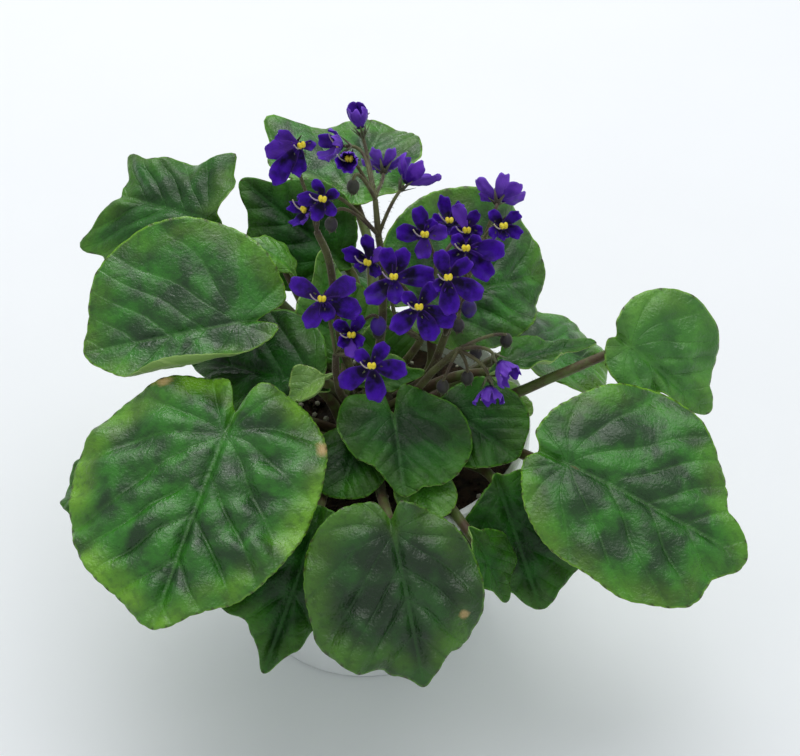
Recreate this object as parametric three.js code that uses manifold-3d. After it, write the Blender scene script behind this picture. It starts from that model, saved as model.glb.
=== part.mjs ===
// A potted african violet: a plain white pot of soil, one crown, a rosette of
// heart-shaped leaves on long petioles, and branched stalks of violet flowers.
// Millimetres, +Z up. The origin is the centre of the pot's base; the plant's
// front faces -Y.

import * as THREE from 'three';
import { mergeVertices } from 'three/addons/utils/BufferGeometryUtils.js';
import Module from 'manifold-3d';

const wasm = await Module();
wasm.setup();

// ---------------------------------------------------------------- driving sizes

const GAP = 0.3; // clearance where two pieces touch

const POT = {
  height: 90,
  baseRadius: 40,
  rimRadius: 57,
  wall: 2,
  floor: 3,
  rimBand: 9,
  rimProud: 0.8,
  sides: 28,
  holeRadius: 4,
  holeRing: 24,
  holes: 4,
};

const SOIL = { top: 80, crownHole: 10 };

const CROWN = { x: 4, bottom: 66, top: 100, radius: 9 };

const LEAF = {
  thickness: 0.9,
  petioleAtCrown: 2.4, // radii
  petioleAtBlade: 1.7,
  midribAtMiddle: 0.6,
};

const BLOOM = { size: 12, thickness: 0.7, anther: 1.5 };

const CALYX = { length: 4, radius: 2 };

const STALK = { base: 1.8, fork: 1.3, pedicel: 0.7, bud: 3 }; // radii

// ---------------------------------------------------------------- finishes

const finish = (color, roughness) =>
  new THREE.MeshStandardMaterial({ color, roughness, metalness: 0, side: THREE.FrontSide });

const whitePlastic = finish(0xe9ebea, 0.45);
const pottingSoil = finish(0x2a211a, 0.95);
const crownBark = finish(0x4d4a2c, 0.8);
const leafGreen = finish(0x2f5a26, 0.45);
const leafPale = finish(0x6d9440, 0.5);
const stalkBrown = finish(0x55462f, 0.7);
const petalViolet = finish(0x3a1496, 0.6);

// ---------------------------------------------------------------- small helpers

const rad = THREE.MathUtils.degToRad;
const vec = (x, y, z) => new THREE.Vector3(x, y, z);

/** Unit vector from a compass bearing (0 = +X, 90 = +Y) and a height angle. */
function direction(bearing, height) {
  const flat = Math.cos(rad(height));
  return vec(flat * Math.cos(rad(bearing)), flat * Math.sin(rad(bearing)), Math.sin(rad(height)));
}

function toSolid(geometry) {
  const bare = geometry.clone();
  bare.deleteAttribute('normal');
  bare.deleteAttribute('uv');
  const merged = mergeVertices(bare, 1e-4);
  return new wasm.Manifold(
    new wasm.Mesh({
      numProp: 3,
      vertProperties: Float32Array.from(merged.attributes.position.array),
      triVerts: Uint32Array.from(merged.index.array),
    }),
  );
}

function toGeometry(solid) {
  const mesh = solid.getMesh();
  const geometry = new THREE.BufferGeometry();
  geometry.setAttribute('position', new THREE.BufferAttribute(mesh.vertProperties, 3));
  geometry.setIndex(new THREE.BufferAttribute(mesh.triVerts, 1));
  geometry.computeVertexNormals();
  return geometry;
}

const violet = new THREE.Group();

function addPiece(name, geometry, material) {
  const mesh = new THREE.Mesh(geometry, material);
  mesh.name = name;
  violet.add(mesh);
  return mesh;
}

/** Closed mesh from a list of points and triangles. */
function closedGeometry(points, triangles) {
  const geometry = new THREE.BufferGeometry();
  geometry.setAttribute(
    'position',
    new THREE.Float32BufferAttribute(points.flatMap((p) => [p.x, p.y, p.z]), 3),
  );
  geometry.setIndex(triangles.flat());
  return geometry;
}

/** Round tube along a curve, closed at both ends; radiusAt takes 0 at the start to 1 at the end. */
function taperedTube(curve, steps, sides, radiusAt) {
  const frames = curve.computeFrenetFrames(steps, false);
  const points = [];
  const triangles = [];
  for (let i = 0; i <= steps; i += 1) {
    const along = i / steps;
    const middle = curve.getPointAt(along);
    for (let j = 0; j < sides; j += 1) {
      const turn = (2 * Math.PI * j) / sides;
      points.push(
        middle
          .clone()
          .addScaledVector(frames.normals[i], Math.cos(turn) * radiusAt(along))
          .addScaledVector(frames.binormals[i], Math.sin(turn) * radiusAt(along)),
      );
    }
  }
  for (let i = 0; i < steps; i += 1) {
    for (let j = 0; j < sides; j += 1) {
      const a = i * sides + j;
      const b = i * sides + ((j + 1) % sides);
      triangles.push([a, b, a + sides], [b, b + sides, a + sides]);
    }
  }
  const last = steps * sides;
  for (let j = 1; j < sides - 1; j += 1) {
    triangles.push([0, j + 1, j], [last, last + j, last + j + 1]);
  }
  return closedGeometry(points, triangles);
}

/**
 * Thin closed sheet from a round grid of points: one centre, then rings of equal
 * count. Both faces carry the same triangles, the lower one set back along the
 * surface's own normals.
 */
function sheetFromRings(centre, rings, thickness) {
  const around = rings[0].length;
  const top = [centre, ...rings.flat()];
  const faces = [];
  for (let j = 0; j < around; j += 1) {
    faces.push([0, 1 + j, 1 + ((j + 1) % around)]);
  }
  for (let k = 0; k < rings.length - 1; k += 1) {
    const inner = 1 + k * around;
    const outer = inner + around;
    for (let j = 0; j < around; j += 1) {
      const next = (j + 1) % around;
      faces.push([inner + j, outer + j, outer + next], [inner + j, outer + next, inner + next]);
    }
  }
  const skin = closedGeometry(top, faces);
  skin.computeVertexNormals();
  const normals = skin.attributes.normal;
  const under = top.map((p, i) =>
    p.clone().addScaledVector(vec(normals.getX(i), normals.getY(i), normals.getZ(i)), -thickness),
  );
  const shift = top.length;
  const lower = faces.map(([a, b, c]) => [a + shift, c + shift, b + shift]);
  const edge = [];
  const firstRim = 1 + (rings.length - 1) * around;
  for (let j = 0; j < around; j += 1) {
    const a = firstRim + j;
    const b = firstRim + ((j + 1) % around);
    edge.push([a, a + shift, b + shift], [a, b + shift, b]);
  }
  return closedGeometry([...top, ...under], [...faces, ...lower, ...edge]);
}

/** Where a strip ends that turns by `turn` degrees over `reach`: [distance along, height]. */
function bend(distance, reach, turn, power) {
  const steps = 6;
  const piece = distance / steps;
  let along = 0;
  let height = 0;
  for (let i = 0; i < steps; i += 1) {
    const angle = rad(turn) * (((i + 0.5) * piece) / reach) ** power;
    along += Math.cos(angle) * piece;
    height += Math.sin(angle) * piece;
  }
  return [along, height];
}

/** Smooth closed curve through evenly spaced values, read at an angle in degrees. */
function roundValue(values, angle) {
  const count = values.length;
  const place = ((((angle % 360) + 360) % 360) * count) / 360;
  const index = Math.floor(place);
  const t = place - index;
  const [a, b, c, d] = [-1, 0, 1, 2].map((k) => values[(index + k + count) % count]);
  return b + 0.5 * t * (c - a + t * (2 * a - 5 * b + 4 * c - d + t * (3 * (b - c) + d - a)));
}

const hump = (offset, width) => Math.exp(-((offset / width) ** 2));

// ---------------------------------------------------------------- pot, soil, crown

function buildPot() {
  const { height, baseRadius, rimRadius, wall, floor, rimBand, rimProud, sides } = POT;
  const profile = [
    [0, 0],
    [baseRadius - 1.5, 0],
    [baseRadius, 1.5],
    [rimRadius - 0.4, height - rimBand],
    [rimRadius + rimProud - 0.4, height - rimBand + 1],
    [rimRadius + rimProud, height - 1],
    [rimRadius + rimProud - 0.8, height],
    [rimRadius - wall, height],
    [baseRadius - wall, floor + 2],
    [baseRadius - wall - 2, floor],
    [0, floor],
  ].map(([r, z]) => new THREE.Vector2(r, z));
  const shell = new THREE.LatheGeometry(profile, sides).rotateX(Math.PI / 2);
  let pot = toSolid(shell);
  for (let i = 0; i < POT.holes; i += 1) {
    const place = direction(45 + (360 * i) / POT.holes, 0).multiplyScalar(POT.holeRing);
    const drill = new THREE.CylinderGeometry(POT.holeRadius, POT.holeRadius, 4 * floor, 10);
    pot = pot.subtract(toSolid(drill.rotateX(Math.PI / 2).translate(place.x, place.y, 0)));
  }
  addPiece('pot', toGeometry(pot), whitePlastic);
}

function buildSoil() {
  const { wall, floor, baseRadius, rimRadius, height, sides } = POT;
  const innerAt = (z) => baseRadius - wall + ((rimRadius - baseRadius) * (z - floor)) / (height - floor);
  const profile = [
    [0, floor + GAP],
    [innerAt(floor) - 3, floor + GAP],
    [innerAt(floor + 3) - 3 * GAP, floor + 3],
    [innerAt(SOIL.top) - 3 * GAP, SOIL.top - 1.5],
    [innerAt(SOIL.top) * 0.72, SOIL.top + 0.6],
    [innerAt(SOIL.top) * 0.42, SOIL.top - 0.4],
    [0, SOIL.top + 0.8],
  ].map(([r, z]) => new THREE.Vector2(r, z));
  const heap = new THREE.LatheGeometry(profile, sides).rotateX(Math.PI / 2);
  const depth = 2 * (SOIL.top - CROWN.bottom + GAP);
  const hole = new THREE.CylinderGeometry(SOIL.crownHole, SOIL.crownHole, depth, 16).rotateX(Math.PI / 2);
  const soil = toSolid(heap).subtract(toSolid(hole.translate(CROWN.x, 0, SOIL.top)));
  addPiece('soil', toGeometry(soil), pottingSoil);
}

function buildCrown() {
  const { bottom, top, radius } = CROWN;
  const profile = [
    [0, bottom],
    [radius - 1, bottom],
    [radius, bottom + 8],
    [radius, top - 7],
    [radius - 3, top - 1],
    [0, top],
  ].map(([r, z]) => new THREE.Vector2(r, z));
  const crown = new THREE.LatheGeometry(profile, 16).rotateX(Math.PI / 2);
  addPiece('crown', toGeometry(toSolid(crown.translate(CROWN.x, 0, 0))), crownBark);
}

// ---------------------------------------------------------------- leaves

// A leaf's own frame: X runs along the midrib from the petiole to the tip, Y to
// the leaf's left, Z up from its face. The blade joins its petiole at `at`, and
// its midrib points to `heading` (0 = +X, 90 = +Y) at `pitch` above the level.
// Its outline is set out round the middle of the blade, `centre` mm along the
// midrib, by its reach to the tip, at 45, 90 and 135 degrees on the left and the
// right, and to the back of the lobes. The petiole leaves the crown at `from`,
// a bearing and a height, and may pass through the points of `by` or arrive
// from its own `approach`, a bearing and a climb.

const USUAL_LEAF = {
  roll: 0, // degrees by which the left side is raised
  droop: 14, // degrees by which the midrib turns down to the tip
  curl: [-8, -8], // degrees by which the left and right margins turn up
  curlPower: 1.3, // above 1 the turn gathers toward the margin
  lobeLift: 0, // degrees by which the midrib's line turns up behind the petiole
  ripple: 1.2, // mm of rise and fall along the margin
  waves: 7, // number of such ripples round the blade
  points: [], // extra points of the margin: [degrees from the tip, mm, half width in degrees]
  rise: 50, // degrees at which the petiole climbs as it leaves the crown
  pale: false,
};

const SHEETS = {
  fine: { angles: [0, 9, 25, 43, 62, 82, 102, 122, 142, 158, 170], rings: [0.42, 0.78, 1] },
  plain: { angles: [0, 10, 30, 52, 76, 100, 124, 147, 166], rings: [0.58, 1] },
  small: { angles: [0, 14, 42, 76, 110, 142, 165], rings: [0.6, 1] },
};
const TIP_WIDTH = 13; // degrees that the pointed tip takes up
const SINUS_WIDTH = 9; // degrees that the notch between the lobes takes up

function outlineReach(leaf, angle) {
  const [l45, l90, l135] = leaf.left;
  const [r45, r90, r135] = leaf.right;
  const shoulder = (l45 + r45) / 2;
  const round = [shoulder, l45, l90, l135, leaf.back, r135, r90, r45];
  let reach = roundValue(round, angle);
  reach += (leaf.tip - shoulder) * hump(angle, TIP_WIDTH);
  reach -= (leaf.back - leaf.centre + 1.5) * hump(180 - Math.abs(angle), SINUS_WIDTH);
  for (const [where, height, width] of leaf.points) {
    reach += height * hump(angle - where, width);
  }
  return reach;
}

/** The leaf's frame: where its local axes point, and a way to place a local point. */
function leafFrame(leaf) {
  const { at, heading, pitch, roll, droop } = leaf;
  const ahead = direction(heading, pitch + droop / 2);
  const level = vec(0, 0, 1).cross(ahead).normalize();
  const left = level.applyAxisAngle(ahead, rad(roll));
  const up = ahead.clone().cross(left);
  const place = (x, y, z) =>
    vec(...at).addScaledVector(ahead, x).addScaledVector(left, y).addScaledVector(up, z);
  return { ahead, left, up, place };
}

/** A point of the blade, given how far it lies along and across the flattened leaf. */
function bladePoint(leaf, frame, along, across, lift) {
  const { tip, centre, back, droop, lobeLift, curl, curlPower } = leaf;
  const side = across >= 0 ? 0 : 1;
  const halfWidth = [leaf.left, leaf.right][side][1];
  const [out, rise] = bend(Math.abs(across), halfWidth, curl[side], curlPower);
  const reach = along >= 0 ? centre + tip : back;
  const turn = along >= 0 ? -droop : lobeLift;
  const [ahead, height] = bend(Math.abs(along), reach, turn, 1);
  const slope = (rad(turn) * along) / reach;
  return frame.place(
    Math.sign(along) * ahead - Math.sin(slope) * (rise + lift),
    (side ? -1 : 1) * out,
    height + Math.cos(slope) * (rise + lift),
  );
}

function sheetFor(leaf) {
  if (leaf.tip > 40) return SHEETS.fine;
  return leaf.tip > 24 ? SHEETS.plain : SHEETS.small;
}

function bladeSheet(leaf, frame) {
  const half = sheetFor(leaf);
  const angles = [...half.angles, 180, ...half.angles.slice(1).reverse().map((a) => -a)];
  const { centre, ripple, waves } = leaf;
  const pointAt = (angle, share) => {
    const reach = outlineReach(leaf, angle) * share;
    const lift = ripple * share ** 2 * Math.sin(waves * rad(angle));
    const along = centre + reach * Math.cos(rad(angle));
    return bladePoint(leaf, frame, along, reach * Math.sin(rad(angle)), lift);
  };
  const rings = half.rings.map((share) => angles.map((angle) => pointAt(angle, share)));
  return sheetFromRings(pointAt(0, 0), rings, LEAF.thickness);
}

/** The petiole leaves the crown outward, arches up and runs on under the blade as its midrib. */
function petiole(leaf, frame) {
  const { centre, rise } = leaf;
  const [bearing, startHeight] = leaf.from;
  const { petioleAtCrown, petioleAtBlade, midribAtMiddle } = LEAF;
  const start = vec(CROWN.x, 0, startHeight);
  start.addScaledVector(direction(bearing, 0), CROWN.radius + 2 * GAP + petioleAtCrown * 0.75);
  const join = frame.place(0, 0, -petioleAtBlade * 0.85);
  const under = (along, depth) => bladePoint(leaf, frame, along, 0, -depth);
  const span = start.distanceTo(join);
  const leaving = start.clone().addScaledVector(direction(bearing, rise), span * 0.35);
  const arrival = leaf.approach
    ? direction(...leaf.approach).multiplyScalar(span * 0.3)
    : frame.ahead.clone().multiplyScalar(0.22 * span).addScaledVector(frame.up, 0.2 * span);
  const stem = new THREE.CubicBezierCurve3(start, leaving, join.clone().sub(arrival), join);
  const way = leaf.by
    ? [start, start.clone().lerp(leaving, 0.4), ...leaf.by.map((p) => vec(...p)), join]
    : [0, 0.25, 0.5, 0.75, 1].map((t) => stem.getPoint(t));
  const route = new THREE.CatmullRomCurve3([
    ...way,
    under(centre * 0.45, petioleAtBlade * 0.85),
    under(centre, 0.9),
  ]);
  const stemShare = span / (span + centre);
  const radiusAt = (t) =>
    t < stemShare
      ? petioleAtCrown + ((petioleAtBlade - petioleAtCrown) * t) / stemShare
      : petioleAtBlade + ((midribAtMiddle - petioleAtBlade) * (t - stemShare)) / (1 - stemShare);
  return taperedTube(route, 8, 4, radiusAt);
}

function buildLeaf(row) {
  const leaf = { ...USUAL_LEAF, ...row };
  const frame = leafFrame(leaf);
  const whole = toSolid(bladeSheet(leaf, frame)).add(toSolid(petiole(leaf, frame)));
  addPiece(leaf.name, toGeometry(whole), leaf.pale ? leafPale : leafGreen);
}

const LEAVES = [
  {
    name: 'leaf_front_left', at: [-44, -32, 113], heading: -110, pitch: -27, roll: -2,
    centre: 21, tip: 48, left: [39, 37, 43], right: [45, 45, 43], back: 41,
    curl: [-10, -14], lobeLift: -10, ripple: 1.5, from: [-148, 84], rise: 35,
  },
  {
    name: 'leaf_right', at: [67, -44, 111], heading: -21, pitch: -22, roll: 20,
    centre: 20, tip: 46, left: [36, 40, 36], right: [39, 31, 33], back: 34,
    droop: 12, curl: [-12, -8], lobeLift: -8, from: [-10, 84], approach: [-60, 45], rise: 30,
  },
  {
    name: 'leaf_front', at: [11, -65, 101], heading: -74, pitch: -49, roll: 4,
    centre: 15, tip: 35, left: [28, 26, 21], right: [32, 31, 30], back: 25,
    droop: 16, curl: [-14, -14], lobeLift: -10, ripple: 1.5, waves: 6, from: [-88, 84], rise: 20,
  },
  {
    name: 'leaf_front_right', at: [46, -43, 97], heading: -60, pitch: -57, roll: 22,
    centre: 13, tip: 30, left: [27, 26, 22], right: [20, 19, 15], back: 17,
    curl: [-10, -10], from: [-36, 84], rise: 0,
  },
  {
    name: 'leaf_heart', at: [11, -21, 111], heading: -83, pitch: -14, roll: -3,
    centre: 10, tip: 22, left: [23, 25, 23], right: [14, 18, 23], back: 21,
    droop: 18, curl: [-8, -12], from: [-58, 96], rise: 70,
  },
  {
    name: 'leaf_front_low_left', at: [-14, -58, 97], heading: -115, pitch: -53, roll: -23,
    centre: 16, tip: 35, left: [26, 24, 22], right: [30, 27, 22], back: 22,
    droop: 24, curl: [-10, -10], from: [-126, 84], rise: 20,
  },
  {
    name: 'leaf_right_inner', at: [30, -16, 108], heading: -39, pitch: -14, roll: 21,
    centre: 9, tip: 19, left: [19, 17, 17], right: [16, 15, 14], back: 14,
    curl: [8, 8], from: [-40, 91], rise: 60,
  },
  {
    name: 'leaf_mid_left', at: [-16, -10, 114], heading: 154, pitch: -14, roll: -31,
    centre: 15, tip: 36, left: [21, 17, 15], right: [26, 23, 20], back: 17,
    droop: 20, curl: [10, -12], from: [-150, 91], rise: 70,
  },
  {
    name: 'leaf_left', at: [-41, 8, 126], heading: -174, pitch: -13, roll: -31,
    centre: 16, tip: 38, left: [26, 22, 21], right: [40, 40, 37], back: 32,
    droop: 10, curl: [110, 8], curlPower: 1.6, from: [156, 86], by: [[-22, 24, 108], [-36, 23, 121]],
  },
  {
    name: 'leaf_back_left', at: [-55, 57, 132], heading: 150, pitch: -10, roll: -30,
    centre: 14, tip: 26, left: [30, 30, 24], right: [24, 20, 24], back: 18,
    droop: 10, curl: [6, 6], ripple: 2.5, waves: 6,
    points: [[-28, 12, 10], [35, 8, 12], [-120, 8, 14]], from: [116, 84], approach: [140, 60],
  },
  {
    name: 'leaf_back_left_inner', at: [-9, 47, 122], heading: 152, pitch: 22, roll: -54,
    centre: 13, tip: 31, left: [22, 22, 18], right: [20, 20, 18], back: 17,
    droop: 10, curl: [14, 14], from: [106, 90],
  },
  {
    name: 'leaf_arched', at: [-24, 38, 124], heading: 149, pitch: 13, roll: 10,
    centre: 8, tip: 17, left: [12, 12, 11], right: [12, 12, 11], back: 10,
    droop: 60, curl: [-40, -40], from: [136, 91], approach: [150, 60],
  },
  {
    name: 'leaf_back', at: [-4, 73, 132], heading: 74, pitch: 3, roll: -7,
    centre: 12, tip: 27, left: [30, 36, 18], right: [24, 20, 18], back: 18,
    droop: 10, curl: [6, 6], points: [[66, 12, 10]], from: [92, 85], approach: [120, 30],
  },
  {
    name: 'leaf_back_right', at: [23, 22, 124], heading: 25, pitch: -10, roll: 44,
    centre: 14, tip: 33, left: [36, 36, 34], right: [25, 21, 22], back: 28,
    droop: 10, curl: [10, 6], from: [32, 89], by: [[24, 13, 104]],
  },
  {
    name: 'leaf_edge_on', at: [47, -4, 118], heading: 21, pitch: 0, roll: -20,
    centre: 10, tip: 24, left: [17, 17, 15], right: [17, 17, 15], back: 14,
    droop: 16, curl: [14, 14], from: [12, 94], by: [[32, 3, 106]],
  },
  {
    name: 'leaf_far_right', at: [90, -2, 124], heading: -16, pitch: -44, roll: 34,
    centre: 11, tip: 27, left: [25, 28, 24], right: [16, 18, 18], back: 20,
    curl: [-8, 20], from: [-15, 91], by: [[46, -7, 105], [66, -4, 113]],
  },
  {
    name: 'leaf_low_back_right', at: [57, 26, 102], heading: 8, pitch: -28,
    centre: 11, tip: 23, left: [22, 21, 19], right: [22, 20, 18], back: 18,
    droop: 16, from: [18, 84],
  },
  {
    name: 'leaf_pale', at: [41, 2, 101], heading: -6, pitch: -28,
    centre: 7, tip: 13, left: [14, 13, 11], right: [13, 12, 10], back: 9,
    from: [4, 87], approach: [0, 10], pale: true,
  },
  {
    name: 'leaf_middle_back_left', at: [-7, 14, 105], heading: 110, pitch: 60,
    centre: 12, tip: 26, left: [16, 15, 14], right: [16, 16, 15], back: 14,
    droop: -20, curl: [14, 14], from: [150, 97], rise: 70,
  },
  {
    name: 'leaf_middle_back_right', at: [9, 13, 101], heading: 95, pitch: 70,
    centre: 9, tip: 13, left: [9, 10, 9], right: [10, 10, 9], back: 9,
    droop: -16, curl: [12, 12], from: [72, 97], rise: 60,
  },
  {
    name: 'leaf_middle_front', at: [3, -3, 108], heading: 3, pitch: 5, roll: 58,
    centre: 6, tip: 13, left: [9, 9, 8], right: [5, 4, 4], back: 7,
    curl: [10, 10], from: [-92, 97], rise: 80,
  },
  {
    name: 'leaf_young_curled', at: [-14, -12, 119], heading: -155, pitch: -33,
    centre: 4, tip: 11, left: [7, 8, 6], right: [7, 8, 6], back: 6,
    droop: 30, curl: [50, 50], from: [-172, 97], rise: 70, pale: true,
  },
  {
    name: 'leaf_under_heart', at: [-1, -27, 105], heading: -106, pitch: -20,
    centre: 8, tip: 14, left: [14, 13, 11], right: [15, 16, 14], back: 12,
    droop: 10, curl: [-10, -10], from: [-110, 91],
  },
  {
    name: 'leaf_front_inner', at: [18, -39, 101], heading: -75, pitch: -18,
    centre: 7, tip: 12, left: [12, 12, 11], right: [9, 9, 9], back: 10,
    from: [-76, 90],
  },
  {
    name: 'leaf_front_low_right', at: [39, -60, 91], heading: -40, pitch: -61,
    centre: 8, tip: 16, left: [12, 12, 11], right: [9, 9, 9], back: 11,
    from: [-62, 84], approach: [-62, -5], rise: 48,
  },
  {
    name: 'leaf_low_left', at: [-68, -26, 93], heading: -171, pitch: -21,
    centre: 12, tip: 24, left: [22, 21, 19], right: [22, 21, 19], back: 17,
    from: [-172, 84], approach: [-165, -10],
  },
  {
    name: 'leaf_low_back', at: [8, 54, 99], heading: 84, pitch: -18,
    centre: 14, tip: 31, left: [28, 27, 24], right: [28, 27, 24], back: 20,
    droop: 16, from: [66, 84],
  },
  {
    name: 'leaf_low_back_left', at: [-44, 36, 99], heading: 146, pitch: -18,
    centre: 14, tip: 31, left: [28, 27, 24], right: [28, 27, 24], back: 20,
    droop: 16, from: [140, 83],
  },
];

// ---------------------------------------------------------------- flowers

// A bloom's petals stand at these angles from its top, clockwise or not alike:
// two small upper ones, two side ones and the lowest.
const PETALS = [
  { angle: 34, reach: 0.8, half: 34 },
  { angle: 106, reach: 0.98, half: 37 },
  { angle: 180, reach: 1, half: 37 },
  { angle: 254, reach: 0.98, half: 37 },
  { angle: 326, reach: 0.8, half: 34 },
];
const NOTCH = 0.33;
const PETAL_SHOULDER = 0.45;

function bloomFrame(bloom) {
  const { at, face } = bloom;
  const out = direction(...face);
  const up = vec(0, 0, 1).addScaledVector(out, -out.z).normalize();
  const side = out.clone().cross(up);
  const place = (x, y, z) =>
    vec(...at).addScaledVector(up, x).addScaledVector(side, y).addScaledVector(out, z);
  return { out, up, side, place };
}

function petalSheet(bloom, frame) {
  const { size = BLOOM.size, open = 20 } = bloom;
  const outline = PETALS.flatMap(({ angle, reach, half }) => [
    [angle - half, NOTCH],
    [angle - half * PETAL_SHOULDER, reach],
    [angle + half * PETAL_SHOULDER, reach],
  ]);
  const rings = [0.45, 1].map((share) =>
    outline.map(([angle, reach]) => {
      const distance = size * (share < 1 ? Math.min(share, reach * 0.8) : reach);
      const [flat, height] = bend(distance, size, open, 1);
      return frame.place(flat * Math.cos(rad(angle)), flat * Math.sin(rad(angle)), height);
    }),
  );
  return sheetFromRings(frame.place(0, 0, 0), rings, BLOOM.thickness);
}

function buildBloom(bloom) {
  const frame = bloomFrame(bloom);
  const anthers = new THREE.OctahedronGeometry(BLOOM.anther);
  anthers.applyMatrix4(
    new THREE.Matrix4().makeBasis(frame.up, frame.side, frame.out).setPosition(frame.place(0.5, 0, 0.9)),
  );
  const whole = toSolid(petalSheet(bloom, frame)).add(toSolid(anthers));
  addPiece(`bloom_${bloom.name}`, toGeometry(whole), petalViolet);
}

const BLOOMS = [
  { name: 'a1', at: [-19, 20, 190], face: [-60, 25], open: 30 },
  { name: 'a2', at: [-6, 31, 182], face: [195, 15], open: 60 },
  { name: 'a3', at: [0, 41, 182], face: [115, 55], open: 80, size: 10.5 },
  { name: 'a4', at: [-3, 10, 192], face: [-95, 30], open: 70, size: 8 },
  { name: 'a5', at: [7.5, 34.5, 171], face: [90, 40], open: 30, size: 8 },
  { name: 'a6', at: [15, 19, 176], face: [35, 45], open: 60 },
  { name: 'a7', at: [-11, 0, 184], face: [-110, 20], open: 30, size: 10 },
  { name: 'a8', at: [-17, 9, 172.5], face: [-150, 20], open: 30, size: 7 },
  { name: 'b1', at: [45, 24, 166], face: [85, 30], open: 20, size: 10 },
  { name: 'b2', at: [46, 4, 170], face: [-80, 25], open: 20, size: 9 },
  { name: 'b3', at: [21, 3, 167], face: [-95, 35], open: 20 },
  { name: 'b4', at: [35, 20, 155.5], face: [-90, 30], open: 30, size: 9 },
  { name: 'b5', at: [29.5, 30, 151], face: [-90, 60], open: 30, size: 9 },
  { name: 'b6', at: [34, -4, 167], face: [-90, 35], open: 20 },
  { name: 'b7', at: [28, -18, 166.5], face: [-80, 35], open: 20 },
  { name: 'c1', at: [3, 0, 158], face: [-120, 25], open: 40, size: 10 },
  { name: 'c2', at: [11, -10, 160], face: [-90, 40], open: 30 },
  { name: 'c4', at: [19, -20, 156], face: [-90, 35], open: 15 },
  { name: 'c5', at: [-12, -10, 151], face: [-100, 35], open: 15 },
  { name: 'c6', at: [-2.6, -16.6, 141.8], face: [-90, 20], open: 50, size: 8 },
  { name: 'c8', at: [4, -30, 140], face: [-90, 35], open: 10 },
  { name: 'd1', at: [45, -20, 133], face: [-45, -35], open: 60, size: 8 },
  { name: 'd2', at: [42, -24, 126], face: [-80, -50], open: 60, size: 8 },
];

// A stalk is a trunk with side branches. At each fork stand the pedicels of the
// blooms named there; a bud hangs from a thinner one that arches over.

const STALKS = [
  {
    name: 'stalk_back',
    trunk: [[3, 4, 101], [7, 7, 125], [7, 8, 152], [6, 9, 162]],
    branches: [[[6, 9, 162], [5, 14, 173]]],
    forks: [
      { at: [5, 14, 173], blooms: ['a2', 'a3', 'a4', 'a5'] },
      { at: [6, 9, 162], blooms: ['a6', 'a7'] },
    ],
    buds: [
      { from: [5, 14, 173], over: [-1, 13, 189], at: [-2, 10, 181] },
      { from: [6, 9, 162], over: [-6, 6, 182], at: [-9, 2, 172] },
    ],
  },
  {
    name: 'stalk_left',
    trunk: [[-1, 2, 101], [-7, 6, 120], [-10, 9, 150], [-14, 10, 163]],
    branches: [],
    forks: [{ at: [-14, 10, 163], blooms: ['a1', 'a8'] }],
    buds: [],
  },
  {
    name: 'stalk_right',
    trunk: [[11, -1, 100], [22, 2, 107], [28, 4, 123], [35, 10, 143], [41, 16, 156]],
    branches: [],
    forks: [
      { at: [41, 16, 156], blooms: ['b1', 'b2'] },
      { at: [35, 10, 143], blooms: ['b5', 'b6'] },
      { at: [28, 4, 123], blooms: ['b7'] },
    ],
    buds: [{ from: [35, 10, 143], over: [33, -2, 144], at: [32, -8, 138] }],
  },
  {
    name: 'stalk_middle',
    trunk: [[7, 4, 101], [14, 6, 109], [20, 4, 122], [21, 3, 134]],
    branches: [
      [[21, 3, 134], [25, 9, 150]],
      [[20, 4, 122], [12, 0, 132]],
    ],
    forks: [
      { at: [25, 9, 150], blooms: ['b3', 'b4'] },
      { at: [21, 3, 134], blooms: ['c2', 'c4'] },
      { at: [12, 0, 132], blooms: ['c1'] },
    ],
    buds: [{ from: [20, 4, 122], over: [14, -6, 136], at: [6, -9, 136] }],
  },
  {
    name: 'stalk_front_left',
    trunk: [[0, -4, 101], [-6, -11, 109], [-8, -12, 121], [-8, -12, 129]],
    branches: [],
    forks: [{ at: [-8, -12, 129], blooms: ['c5', 'c6', 'c8'] }],
    buds: [],
  },
  {
    name: 'stalk_right_low',
    trunk: [[8, -6, 99.5], [18, -8.5, 110], [24, -11, 121], [32, -14, 133]],
    branches: [],
    forks: [{ at: [32, -14, 133], blooms: ['d1', 'd2'] }],
    buds: [
      { from: [32, -14, 133], over: [43, -8, 136], at: [48, -5, 129] },
      { from: [32, -14, 133], over: [30, -18, 132], at: [27, -20, 122] },
      { from: [32, -14, 133], over: [35, -17, 131], at: [35, -18, 124] },
      { from: [32, -14, 133], over: [37, -9, 133], at: [38, -8, 126] },
    ],
  },
];

const TUBE_STEPS = { trunk: 7, branch: 2, pedicel: 5 };

function stemTube(points, steps, sides, startRadius, endRadius) {
  const [first, ...rest] = points.map((p) => vec(...p));
  const route = rest.length > 1
    ? new THREE.CatmullRomCurve3([first, ...rest])
    : new THREE.LineCurve3(first, ...rest);
  const radiusAt = (t) => startRadius + (endRadius - startRadius) * t;
  return toSolid(taperedTube(route, steps, sides, radiusAt));
}

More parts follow.
